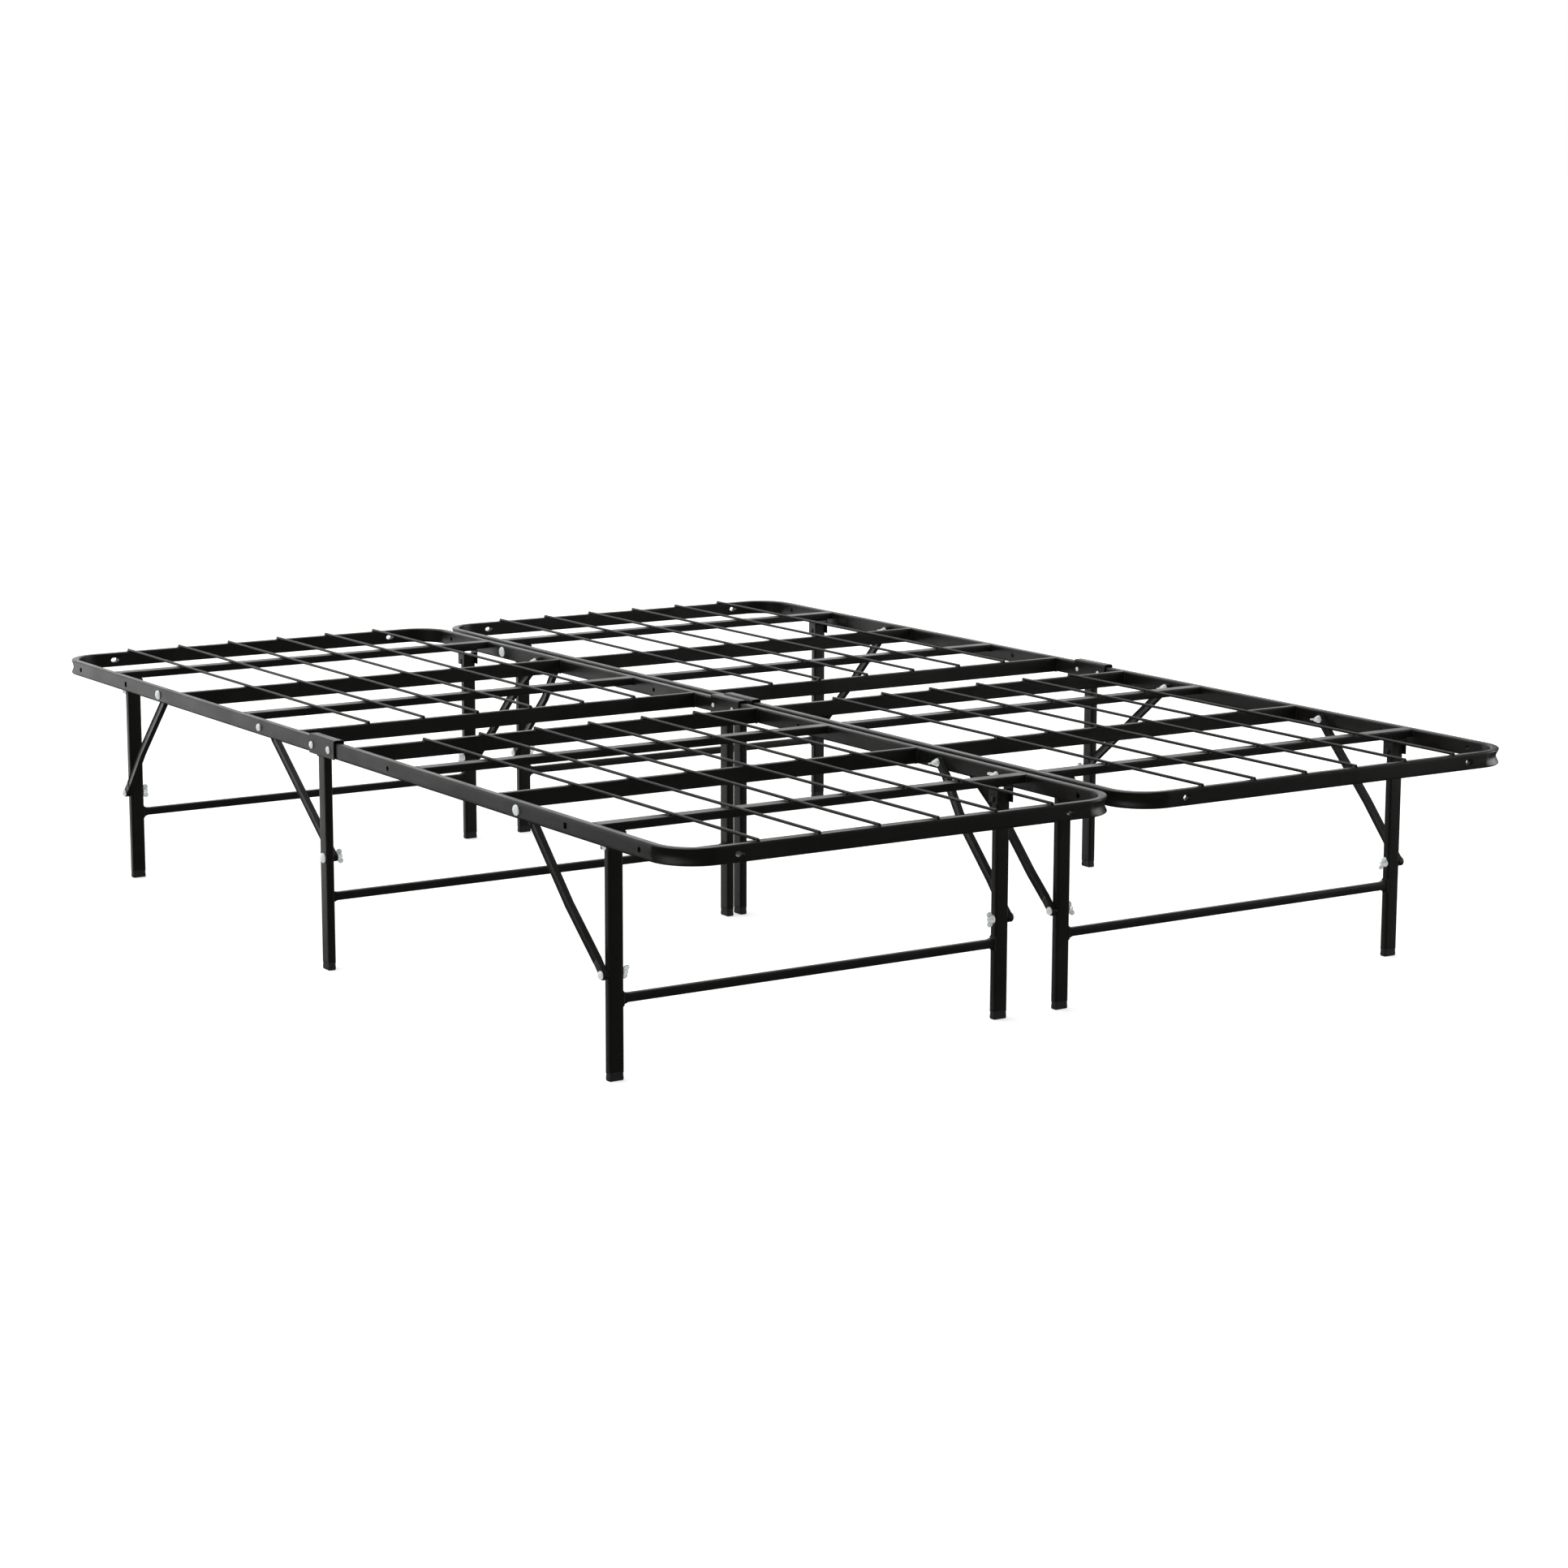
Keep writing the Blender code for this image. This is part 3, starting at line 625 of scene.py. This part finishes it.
# The slat by the hinge with its wires, and a drop of weld each side of every crossing
def wireDeckShape():
    s = wireSettings
    bm = bmesh.new()
    addShape(bm, slatTube(s["slatY"] - s["slatWide"] / 2, s["slatY"] + s["slatWide"] / 2, railLow.z))
    middle = (railLow.x + railHigh.x) / 2
    for index in range(s["count"]):
        x = middle + (index - (s["count"] - 1) / 2) * s["spacing"]
        addShape(bm, wireShape(x))
        for y in [s["slatY"]] + slatCrossings + [railHigh.y - railThick / 2]:
            for side in (-1, 1):
                nugget(bm, (x + side * s["dropOut"], y, railHigh.z + s["dropUp"]), s["drop"])
    return bm


slatMeshes = {
    "hanger_slat": meshFrom(hangerSlatShape(), "hangerSlat"),
    "deep_slat": meshFrom(slatShape("deep_slat_a_head"), "deepSlat"),
    "flat_slat": meshFrom(slatShape("flat_slat_a_head"), "flatSlat"),
    "wire_deck": meshFrom(wireDeckShape(), "wireDeck"),
}
for unit, end, side, turned in panels:
    for kind, mesh in slatMeshes.items():
        addPiece(mesh, f"{kind}_fine_{unit}_{end}", end + "_section", "black_powder_coat",
                 [f"{kind}_{unit}_{end}"], side, turned)
print("slats and wires made")


legSettings = {"corner": 0.0026, "topSoft": 0.0012, "hole": 0.0034, "endBolt": 0.138, "centreBolt": 0.162,
               "stretcherZ": 0.105, "stretcherTall": 0.012, "stretcherDeep": 0.011, "stretcherCorner": 0.0030,
               "stretcherIn": 0.0002, "flare": 1.5, "flareLength": 0.0075, "seamWidth": 0.8}


# The cross tube between two legs, its ends pressed wider where they are welded on
def stretcherShape(left, right, y):
    s = legSettings
    deep, z = s["stretcherDeep"] / 2, s["stretcherZ"]
    tall = s["stretcherTall"] / 2
    bm = straightTube((left, y - deep, z - tall), (right, y + deep, z + tall), "X", s["stretcherCorner"])
    for place in (left + s["flareLength"], right - s["flareLength"]):
        sliceAt(bm, (place, 0, 0), (1, 0, 0))
    ends = [v for v in bm.verts if v.co.x < left + 0.001 or v.co.x > right - 0.001]
    for vertex in ends:
        vertex.co.z = z + (vertex.co.z - z) * s["flare"]
    reach = tall * s["flare"]
    for x in (left, right):
        for height in (z - reach, z + reach):
            weldBead(bm, (x, y - deep + 0.0015, height), (x, y + deep - 0.0015, height), s["seamWidth"])
        for front in (y - deep, y + deep):
            weldBead(bm, (x, front, z - reach + 0.001), (x, front, z + reach - 0.001), s["seamWidth"])
    return bm


def legFrameShape(sides, y, thick, low, top, holes, name):
    s = legSettings
    body = bmesh.new()
    for left, right in sides:
        leg = straightTube((left, y - thick / 2, low), (right, y + thick / 2, top), "Z", s["corner"])
        rim = [e for e in leg.edges if all(v.co.z > top - 1e-5 for v in e.verts)]
        softenEdges(leg, rim, s["topSoft"])
        addShape(body, leg)
    tool = bmesh.new()
    for left, right in sides:
        for height in holes:
            addShape(tool, roundHole(left - 0.004, right + 0.004, y, height, s["hole"]))
    frameShape = cutMesh(body, tool, name)
    into = s["stretcherIn"]
    addShape(frameShape, stretcherShape(sides[0][1] - into, sides[1][0] + into, y))
    return frameShape


footSettings = {"corner": 0.0026, "sole": 0.0024, "lip": 0.0018, "draw": 0.0004}


# A plug pushed into a leg: a thin lip, then sides that draw in to a worn rounded sole
def footShape(left, right, y, thick, high):
    s = footSettings
    bm = straightTube((left, y - thick / 2, 0), (right, y + thick / 2, high), "Z", s["corner"], 4)
    sole = [e for e in bm.edges if all(v.co.z < 1e-5 for v in e.verts)]
    softenEdges(bm, sole, s["sole"], 3, 0.55)
    for depth in (s["lip"] - 0.0002, s["lip"] + 0.0004):
        sliceAt(bm, (0, 0, high - depth), (0, 0, 1))
    centre = Vector(((left + right) / 2, y, 0))
    for vertex in bm.verts:
        if s["corner"] < vertex.co.z < high - s["lip"]:
            vertex.co.x += math.copysign(s["draw"], centre.x - vertex.co.x)
            vertex.co.y += math.copysign(s["draw"], centre.y - vertex.co.y)
    return bm


endSides = ((legLow.x, legLow.x + legWide), (legHigh.x - legWide, legHigh.x))
centreSides = ((centreLow.x, centreLow.x + legThin), (centreHigh.x - legThin, centreHigh.x))
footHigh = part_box("foot_a_head_outer")[1].z
legY = legPivot[1]
endLegMesh = meshFrom(legFrameShape(endSides, legY, legThin, legLow.z, legHigh.z,
                                    (legPivot[2], legSettings["endBolt"]), "endLegs"), "endLegFrame")
centreLegMesh = meshFrom(legFrameShape(centreSides, 0.0, legWide, centreLow.z, centreHigh.z,
                                       (legSettings["centreBolt"],), "centreLegs"), "centreLegFrame")
for unit, end, side, turned in panels:
    body = f"leg_{unit}_{end}"
    addPiece(endLegMesh, f"leg_tubes_{unit}_{end}", body, "black_powder_coat",
             [f"leg_frame_{unit}_{end}"], side, turned)
    for place, (left, right) in zip(("outer", "inner"), endSides):
        plug = meshFrom(footShape(left, right, legY, legThin, footHigh), "footPlug")
        addPiece(plug, f"foot_plug_{unit}_{end}_{place}", body, "foot_plastic",
                 [f"foot_{unit}_{end}_{place}"], side, turned)
for unit, turned in units:
    body = "centre_frame_" + unit
    addPiece(centreLegMesh, f"leg_tubes_{unit}_centre", body, "black_powder_coat",
             [f"leg_frame_{unit}_centre"], 1, turned)
    for place, (left, right) in zip(("outer", "inner"), centreSides):
        plug = meshFrom(footShape(left, right, 0.0, legWide, footHigh), "footPlug")
        addPiece(plug, f"foot_plug_{unit}_centre_{place}", body, "foot_plastic",
                 [f"foot_{unit}_centre_{place}"], 1, turned)
print("legs made")


bracketSettings = {"wall": 0.002, "bend": 0.0034, "rivetRadius": 0.0055, "rivetHeight": 0.0023,
                   "tailShare": 0.62, "weldIn": 0.0022, "weldSide": 1.0, "weldFront": 0.8}


# A low domed head facing +X, with a narrow flat rim
def rivetHead(radius, height):
    profile = [(-0.0015, 0), (-0.0015, radius * 0.6), (0, radius * 0.96), (height * 0.22, radius)]
    steps = 6
    for step in range(1, steps + 1):
        angle = math.pi / 2 * step / steps
        profile.append((height * (0.22 + 0.78 * math.sin(angle)), radius * math.cos(angle)))
    return turnedShape(profile)


# Turns a fastener built towards +X to face the direction, and puts it in place
def facing(bm, direction, x, y, z):
    if direction < 0:
        turnAll(bm, math.pi, "Z")
    moveAll(bm, (x, y, z))
    return bm


for unit, turned in units:
    unitMiddle = (centreLow.x + centreHigh.x) / 2 * (1 if unit == "a" else -1)
    for place in ("outer", "inner"):
        s = bracketSettings
        node = f"hinge_{unit}_{place}"
        low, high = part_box(node)
        left = low.x + s["rivetHeight"] + 0.0001
        right = high.x - s["rivetHeight"] - 0.0001
        sheet = channelSheet((left, low.y, low.z), (right, high.y, high.z), s["wall"], s["bend"])
        legHalf = legWide / 2
        for x in (left + s["weldIn"], right - s["weldIn"]):
            for y in (-legHalf, legHalf):
                weldBead(sheet, (x, y, low.z + 0.001), (x, y, low.z - 0.0012), s["weldSide"])
            weldBead(sheet, (x, -legHalf + 0.002, low.z), (x, legHalf - 0.002, low.z), s["weldFront"])
        body = "centre_frame_" + unit
        addPiece(meshFrom(sheet, "bracket"), f"hinge_bracket_{unit}_{place}", body, "black_powder_coat", [node])
        heads = bmesh.new()
        inward = 1 if low.x < unitMiddle else -1
        for y in (rivetY, -rivetY):
            for direction, x in ((-1, left), (1, right)):
                share = s["tailShare"] if direction == inward else 1.0  # the peened tail is smaller
                head = rivetHead(s["rivetRadius"] * share, s["rivetHeight"] * share)
                addShape(heads, facing(head, direction, x, y, railMiddle))
        addPiece(meshFrom(heads, "rivets"), f"hinge_rivets_{unit}_{place}", body, "zinc_hardware")
print("hinges made")


braceSettings = {"wide": 0.011, "thick": 0.008, "beyond": 0.007, "hole": 0.0034, "groove": 0.0012,
                 "border": 0.0021, "soft": 0.0006, "eye": 0.022, "ease": 0.020, "air": 0.0003,
                 "outerBend": 0.150, "innerBends": (0.020, 0.105, 0.195), "stepX": -0.0343}


# The bar's X at a distance from its upper bolt
def sideStep(stations, place):
    for (near, nearX), (far, farX) in zip(stations, stations[1:]):
        if place <= far:
            return nearX + (farX - nearX) * max(0.0, (place - near) / (far - near))
    return stations[-1][1]


def braceShape(pivot, target, stations, name):
    s = braceSettings
    length = math.hypot(target[0] - pivot[0], target[1] - pivot[1])
    bm = bmesh.new()
    half = s["wide"] / 2
    face = tubeFace(bm, length + 2 * s["beyond"], s["wide"], half - 0.0002, 7)
    pushFace(bm, face, (0, 0, s["thick"]))
    closeShape(bm)
    # along the bar becomes Y, the wide side Z and the thickness X
    bmesh.ops.transform(bm, matrix=lieAlongX, verts=bm.verts)
    moveAll(bm, (-s["thick"] / 2, length / 2, 0))
    tool = bmesh.new()
    for y in (0, length):
        addShape(tool, roundHole(-s["thick"], s["thick"], y, 0, s["hole"]))
    bm = cutMesh(bm, tool, name)
    easeEnd = length - s["ease"]
    for mark in sorted({s["eye"], easeEnd} | {place for place, _ in stations if s["eye"] < place < easeEnd}):
        sliceAt(bm, (0, mark, 0), (0, 1, 0))
    bm.normal_update()
    for sign in (1, -1):
        webs = [
            f for f in bm.faces
            if f.normal.x * sign > 0.9 and s["eye"] - 1e-5 < f.calc_center_median().y < easeEnd + 1e-5
        ]
        bmesh.ops.inset_region(
            bm, faces=webs, thickness=s["border"], depth=-s["groove"], use_even_offset=True,
        )
    for vertex in bm.verts:
        vertex.co.x += sideStep(stations, vertex.co.y) - stations[0][1]
    bm.normal_update()
    softenEdges(bm, sharpEdges(bm, 0.9, 2.0), s["soft"])
    turnAll(bm, math.atan2(target[1] - pivot[1], target[0] - pivot[0]), "X")
    moveAll(bm, (stations[0][1], pivot[0], pivot[1]))
    return bm


braceReach = braceSettings["air"] + braceSettings["thick"] / 2
outerX, innerX = railInner + braceReach, farInner - braceReach
endBolt = (endBoltY, railMiddle)
endEye = (legY, legSettings["endBolt"])
centreBolt = (centreBoltY, railMiddle)
centreEye = (0.0, legSettings["centreBolt"])
easeEnd = math.hypot(endEye[0] - endBolt[0], endEye[1] - endBolt[1]) - braceSettings["ease"]
stepX = braceSettings["stepX"]  # past the link nut, and clear of the hanger when folded
flatEnd, stepStart, stepEnd = braceSettings["innerBends"]
braceStations = {
    "outer": [(braceSettings["outerBend"], outerX), (easeEnd, legLow.x - braceReach)],
    "inner": [(flatEnd, innerX), (stepStart, stepX), (stepEnd, stepX), (easeEnd, legHigh.x + braceReach)],
}
braceMeshes = {
    place: meshFrom(braceShape(endBolt, endEye, stations, "brace" + place), "braceBar")
    for place, stations in braceStations.items()
}
for unit, end, side, turned in panels:
    for place, mesh in braceMeshes.items():
        addPiece(mesh, f"brace_bar_{unit}_{end}_{place}", f"brace_body_{unit}_{end}_{place}",
                 "black_powder_coat", [f"brace_{unit}_{end}_{place}"], side, turned)
centreStations = [(0.0, outerX), (0.1, outerX)]
for unit, turned in units:
    mesh = meshFrom(braceShape(centreBolt, centreEye, centreStations, "braceCentre"), "braceCentre")
    addPiece(mesh, f"brace_bar_{unit}_centre_outer", f"brace_body_{unit}_centre_outer",
             "black_powder_coat", [f"brace_{unit}_centre_outer"], 1, turned)
print("braces made")


hardware = {
    "headHigh": 0.0038, "bigHead": 0.0073, "smallHead": 0.0056, "linkHead": 0.0083,
    "pivotHead": (0.0048, 0.0030), "pivotTail": (0.0042, 0.0012),  # radius and height
    "stub": 0.0029, "pitch": 0.0011, "thread": 0.88, "tip": 0.0004, "showing": 0.0042, "linkShowing": 0.0040,
    "washer": 0.0056, "washerThick": 0.0010, "hub": 0.0047, "hubHigh": 0.0052,
    "wing": (0.0044, 0.0042), "wingThick": 0.0019, "wingOut": 0.0062, "wingTilt": 24, "wingSoft": 0.0006,
    "railTurn": (-16, 16), "legTurn": (50, 85), "centreTurn": (60, 100), "linkTurn": (-25, 25), "seed": 5,
}


def boltHead(radius):
    return rivetHead(radius, hardware["headHigh"])


# The end of a bolt standing out of its nut, with thread ridges and a small chamfer
def threadedEnd(length):
    s = hardware
    radius, pitch = s["stub"], s["pitch"]
    profile = [(-0.004, 0), (-0.004, radius)]
    for index in range(int(length / pitch)):
        profile += [(index * pitch + pitch * 0.5, radius * s["thread"]), ((index + 1) * pitch, radius)]
    profile += [(length + s["tip"], radius * 0.8), (length + s["tip"], 0)]
    return turnedShape(profile, 16)


# A washer, a coned hub, two tilted wings and the bolt's end, facing +X
def wingNut(turn, length):
    s = hardware
    hub, seat = s["hub"], s["washerThick"]
    bm = turnedShape([(0, 0), (0, s["washer"]), (seat, s["washer"]), (seat, 0)])
    hubEnd = seat + s["hubHigh"]
    profile = [(seat, 0), (seat, hub), (seat + 0.0012, hub)]
    profile += [(hubEnd - 0.0006, hub * 0.76), (hubEnd, hub * 0.66), (hubEnd, 0)]
    addShape(bm, turnedShape(profile))
    for side in (1, -1):
        wing = bmesh.new()
        bmesh.ops.create_circle(wing, cap_ends=True, segments=26, radius=1)
        bmesh.ops.scale(wing, verts=wing.verts, vec=(s["wing"][0], s["wing"][1], 1))
        wing.faces.ensure_lookup_table()
        pushFace(wing, wing.faces[0], (0, 0, s["wingThick"]))
        bmesh.ops.recalc_face_normals(wing, faces=wing.faces)
        softenEdges(wing, sharpEdges(wing), s["wingSoft"])
        moveAll(wing, (0, 0, -s["wingThick"] / 2))
        turnAll(wing, math.radians(side * s["wingTilt"]), "Z")
        moveAll(wing, (seat + s["wing"][0], side * s["wingOut"], 0))
        addShape(bm, wing)
    end = threadedEnd(length)
    moveAll(end, (seat + 0.0030, 0, 0))
    addShape(bm, end)
    turnAll(bm, math.radians(turn), "X")
    return bm


nutTurns = random.Random(hardware["seed"])
thick = braceSettings["thick"] + braceSettings["air"]


def looseNut(kind, length="showing"):
    return wingNut(nutTurns.uniform(*hardware[kind]), hardware[length])


# Which way each end leg's pivot bolt points, and where its head and its flattened end sit
pivotReach = hangerSettings["gap"] + hangerSettings["wall"]
(outerLeft, outerRight), (innerLeft, innerRight) = endSides
legPivots = [
    (-1, outerLeft - pivotReach, outerRight + pivotReach),
    (1, innerRight + pivotReach, innerLeft - pivotReach),
]


# Bolts through the two arms: heads outside, wing nuts on the braces inside
def railBolts(withCentre):
    s = hardware
    bm = bmesh.new()
    for outside, direction in ((railLow.x, -1), (railHigh.x, 1)):
        inside = outside - direction * (railThick + thick)
        addShape(bm, facing(boltHead(s["bigHead"]), direction, outside, endBoltY, railMiddle))
        addShape(bm, facing(looseNut("railTurn"), -direction, inside, endBoltY, railMiddle))
        if withCentre and direction < 0:  # only the outer rail has a centre brace
            addShape(bm, facing(boltHead(s["smallHead"]), direction, outside, centreBoltY, railMiddle))
            addShape(bm, facing(looseNut("railTurn"), -direction, inside, centreBoltY, railMiddle))
    for outward, outside, _ in legPivots:
        addShape(bm, facing(rivetHead(*s["pivotHead"]), outward, outside, legY, legPivot[2]))
    return bm


# The flattened, painted ends of the pivot bolts
def pivotEnds():
    bm = bmesh.new()
    for outward, _, inside in legPivots:
        addShape(bm, facing(rivetHead(*hardware["pivotTail"]), -outward, inside, legY, legPivot[2]))
    return bm


# The lower brace bolts: heads on the braces, wing nuts on the legs' inner sides
def legBolts():
    bm = bmesh.new()
    height = legSettings["endBolt"]
    for direction, outside, inside in ((-1, outerLeft - thick, outerRight), (1, innerRight + thick, innerLeft)):
        addShape(bm, facing(boltHead(hardware["smallHead"]), direction, outside, legY, height))
        addShape(bm, facing(looseNut("legTurn"), -direction, inside, legY, height))
    return bm


def centreBolts():
    bm = bmesh.new()
    height = legSettings["centreBolt"]
    addShape(bm, facing(boltHead(hardware["bigHead"]), -1, centreLow.x, 0.0, height))
    addShape(bm, facing(looseNut("centreTurn"), 1, centreLow.x + legThin + thick, 0.0, height))
    return bm


for unit, end, side, turned in panels:
    section = end + "_section"
    railSet = meshFrom(railBolts(plusEnd[unit] == end), "railBolts")
    addPiece(railSet, f"rail_bolts_{unit}_{end}", section, "zinc_hardware", (), side, turned)
    legSet = meshFrom(legBolts(), "legBolts")
    addPiece(legSet, f"leg_bolts_{unit}_{end}", f"leg_{unit}_{end}", "zinc_hardware", (), side, turned)
    ends = meshFrom(pivotEnds(), "pivotEnds")
    addPiece(ends, f"pivot_ends_{unit}_{end}", section, "black_powder_coat", (), side, turned)
for unit, turned in units:
    centreSet = meshFrom(centreBolts(), "centreBolts")
    addPiece(centreSet, f"leg_bolts_{unit}_centre", "centre_frame_" + unit, "zinc_hardware", (), 1, turned)

linkSettings = {"neck": 0.004, "neckAir": 0.0004, "neckSoft": 0.0004, "shank": 0.0029}
for end, direction in (("head", -1), ("foot", 1)):
    y = -direction * railSettings["squareY"]  # the bolt's dome is on this side of the pair of rails
    headX = direction * abs(farInner)
    head = facing(boltHead(hardware["linkHead"]), direction, headX, y, railMiddle)
    half = railSettings["square"] / 2 - linkSettings["neckAir"]
    neckLow, neckHigh = sorted((headX, headX - direction * linkSettings["neck"]))
    addShape(head, barBetween((neckLow, y - half, railMiddle - half), (neckHigh, y + half, railMiddle + half),
                              linkSettings["neckSoft"]))
    radius, span = linkSettings["shank"], 2 * abs(headX)
    shank = turnedShape([(-0.001, 0), (-0.001, radius), (span, radius), (span, 0)], 20)
    addShape(head, facing(shank, -direction, headX, y, railMiddle))
    addPiece(meshFrom(head, "linkBolt"), "link_bolt_fine_" + end, end + "_section", "zinc_hardware",
             ["link_bolt_" + end])
    nut = facing(looseNut("linkTurn", "linkShowing"), -direction, -headX, y, railMiddle)
    addPiece(meshFrom(nut, "linkNut"), "link_nut_fine_" + end, end + "_section", "zinc_hardware",
             ["link_nut_" + end])
print("fasteners made")


cameraSettings = {"place": (-2.9078, -4.5749, 1.1853), "yaw": 0.5802, "pitch": -0.1825, "roll": 0.0029,
                  "lens": 83.73, "sensor": 36, "shift": 0.0069}


def placeCamera():
    s = cameraSettings
    data = bpy.data.cameras.new("viewCamera")
    data.lens = s["lens"]
    data.sensor_width = s["sensor"]
    data.shift_y = s["shift"]
    camera = bpy.data.objects.new("viewCamera", data)
    turn = Matrix.Rotation(-s["yaw"], 4, "Z") @ Matrix.Rotation(math.pi / 2 + s["pitch"], 4, "X")
    camera.matrix_world = Matrix.Translation(s["place"]) @ turn @ Matrix.Rotation(s["roll"], 4, "Z")
    scene.collection.objects.link(camera)
    scene.camera = camera


floorSettings = {"size": 60.0, "colour": (0.80, 0.80, 0.80), "roughness": 0.9, "shine": 0.1, "glow": 0.55}


def layFloor():
    bm = bmesh.new()
    bmesh.ops.create_grid(bm, x_segments=1, y_segments=1, size=floorSettings["size"])
    floor = bpy.data.objects.new("studio_floor", meshFrom(bm, "studioFloor"))
    material = bpy.data.materials.new("paleFloor")
    material.use_nodes = True
    shader = material.node_tree.nodes["Principled BSDF"]
    shader.inputs["Base Color"].default_value = (*floorSettings["colour"], 1)
    shader.inputs["Roughness"].default_value = floorSettings["roughness"]
    shader.inputs["Specular IOR Level"].default_value = floorSettings["shine"]
    shader.inputs["Emission Color"].default_value = (1, 1, 1, 1)
    shader.inputs["Emission Strength"].default_value = floorSettings["glow"]
    floor.data.materials.append(material)
    scene.collection.objects.link(floor)
    floor.visible_glossy = False
    floor.visible_shadow = False


lamps = {
    "leftWindow": {"place": (-2.9, 7.5, 0.6), "aim": (-0.7, 0.8, 0.2), "size": (3.2, 4.5), "power": 95},
    "backWall": {"place": (3.5, 8.0, 2.5), "aim": (0, 0, 0.5), "size": (9.0, 4.5), "power": 200},
    "rightFill": {"place": (5.0, -1.5, 1.2), "aim": (0, 0, 0.2), "size": (3.5, 3.0), "power": 110},
    "leftFill": {"place": (-5.0, -1.0, 1.5), "aim": (0, 0, 0.2), "size": (3.0, 3.0), "power": 22},
}
skySettings = {"strength": 2.6, "angle": 75, "turn": (-0.25, -0.3, 0), "onObject": 0.03, "seen": 1.0}


def hangLamps():
    for name, s in lamps.items():
        data = bpy.data.lights.new(name, "AREA")
        data.shape = "RECTANGLE"
        data.size, data.size_y = s["size"]
        data.energy = s["power"]
        lamp = bpy.data.objects.new(name, data)
        lamp.location = s["place"]
        aim = Vector(s["aim"]) - Vector(s["place"])
        lamp.rotation_euler = aim.to_track_quat("-Z", "Y").to_euler()
        lamp.visible_camera = False
        scene.collection.objects.link(lamp)


# One very broad, even overhead light
def hangSky():
    data = bpy.data.lights.new("ceilingGlow", "SUN")
    data.energy = skySettings["strength"]
    data.angle = math.radians(skySettings["angle"])
    lamp = bpy.data.objects.new("ceilingGlow", data)
    lamp.rotation_euler = skySettings["turn"]
    scene.collection.objects.link(lamp)


def lightWorld():
    world = bpy.data.worlds.new("studioAir")
    world.use_nodes = True
    nodes, links = world.node_tree.nodes, world.node_tree.links
    seen = nodes.new("ShaderNodeLightPath")
    background = nodes["Background"]
    strength = nodes.new("ShaderNodeMapRange")
    strength.inputs["To Min"].default_value = skySettings["onObject"]
    strength.inputs["To Max"].default_value = skySettings["seen"]
    links.new(seen.outputs["Is Camera Ray"], strength.inputs["Value"])
    links.new(strength.outputs["Result"], background.inputs["Strength"])
    background.inputs["Color"].default_value = (1, 1, 1, 1)
    scene.world = world


placeCamera()
layFloor()
hangLamps()
hangSky()
lightWorld()
scene.view_settings.view_transform = "Standard"
print("studio ready")
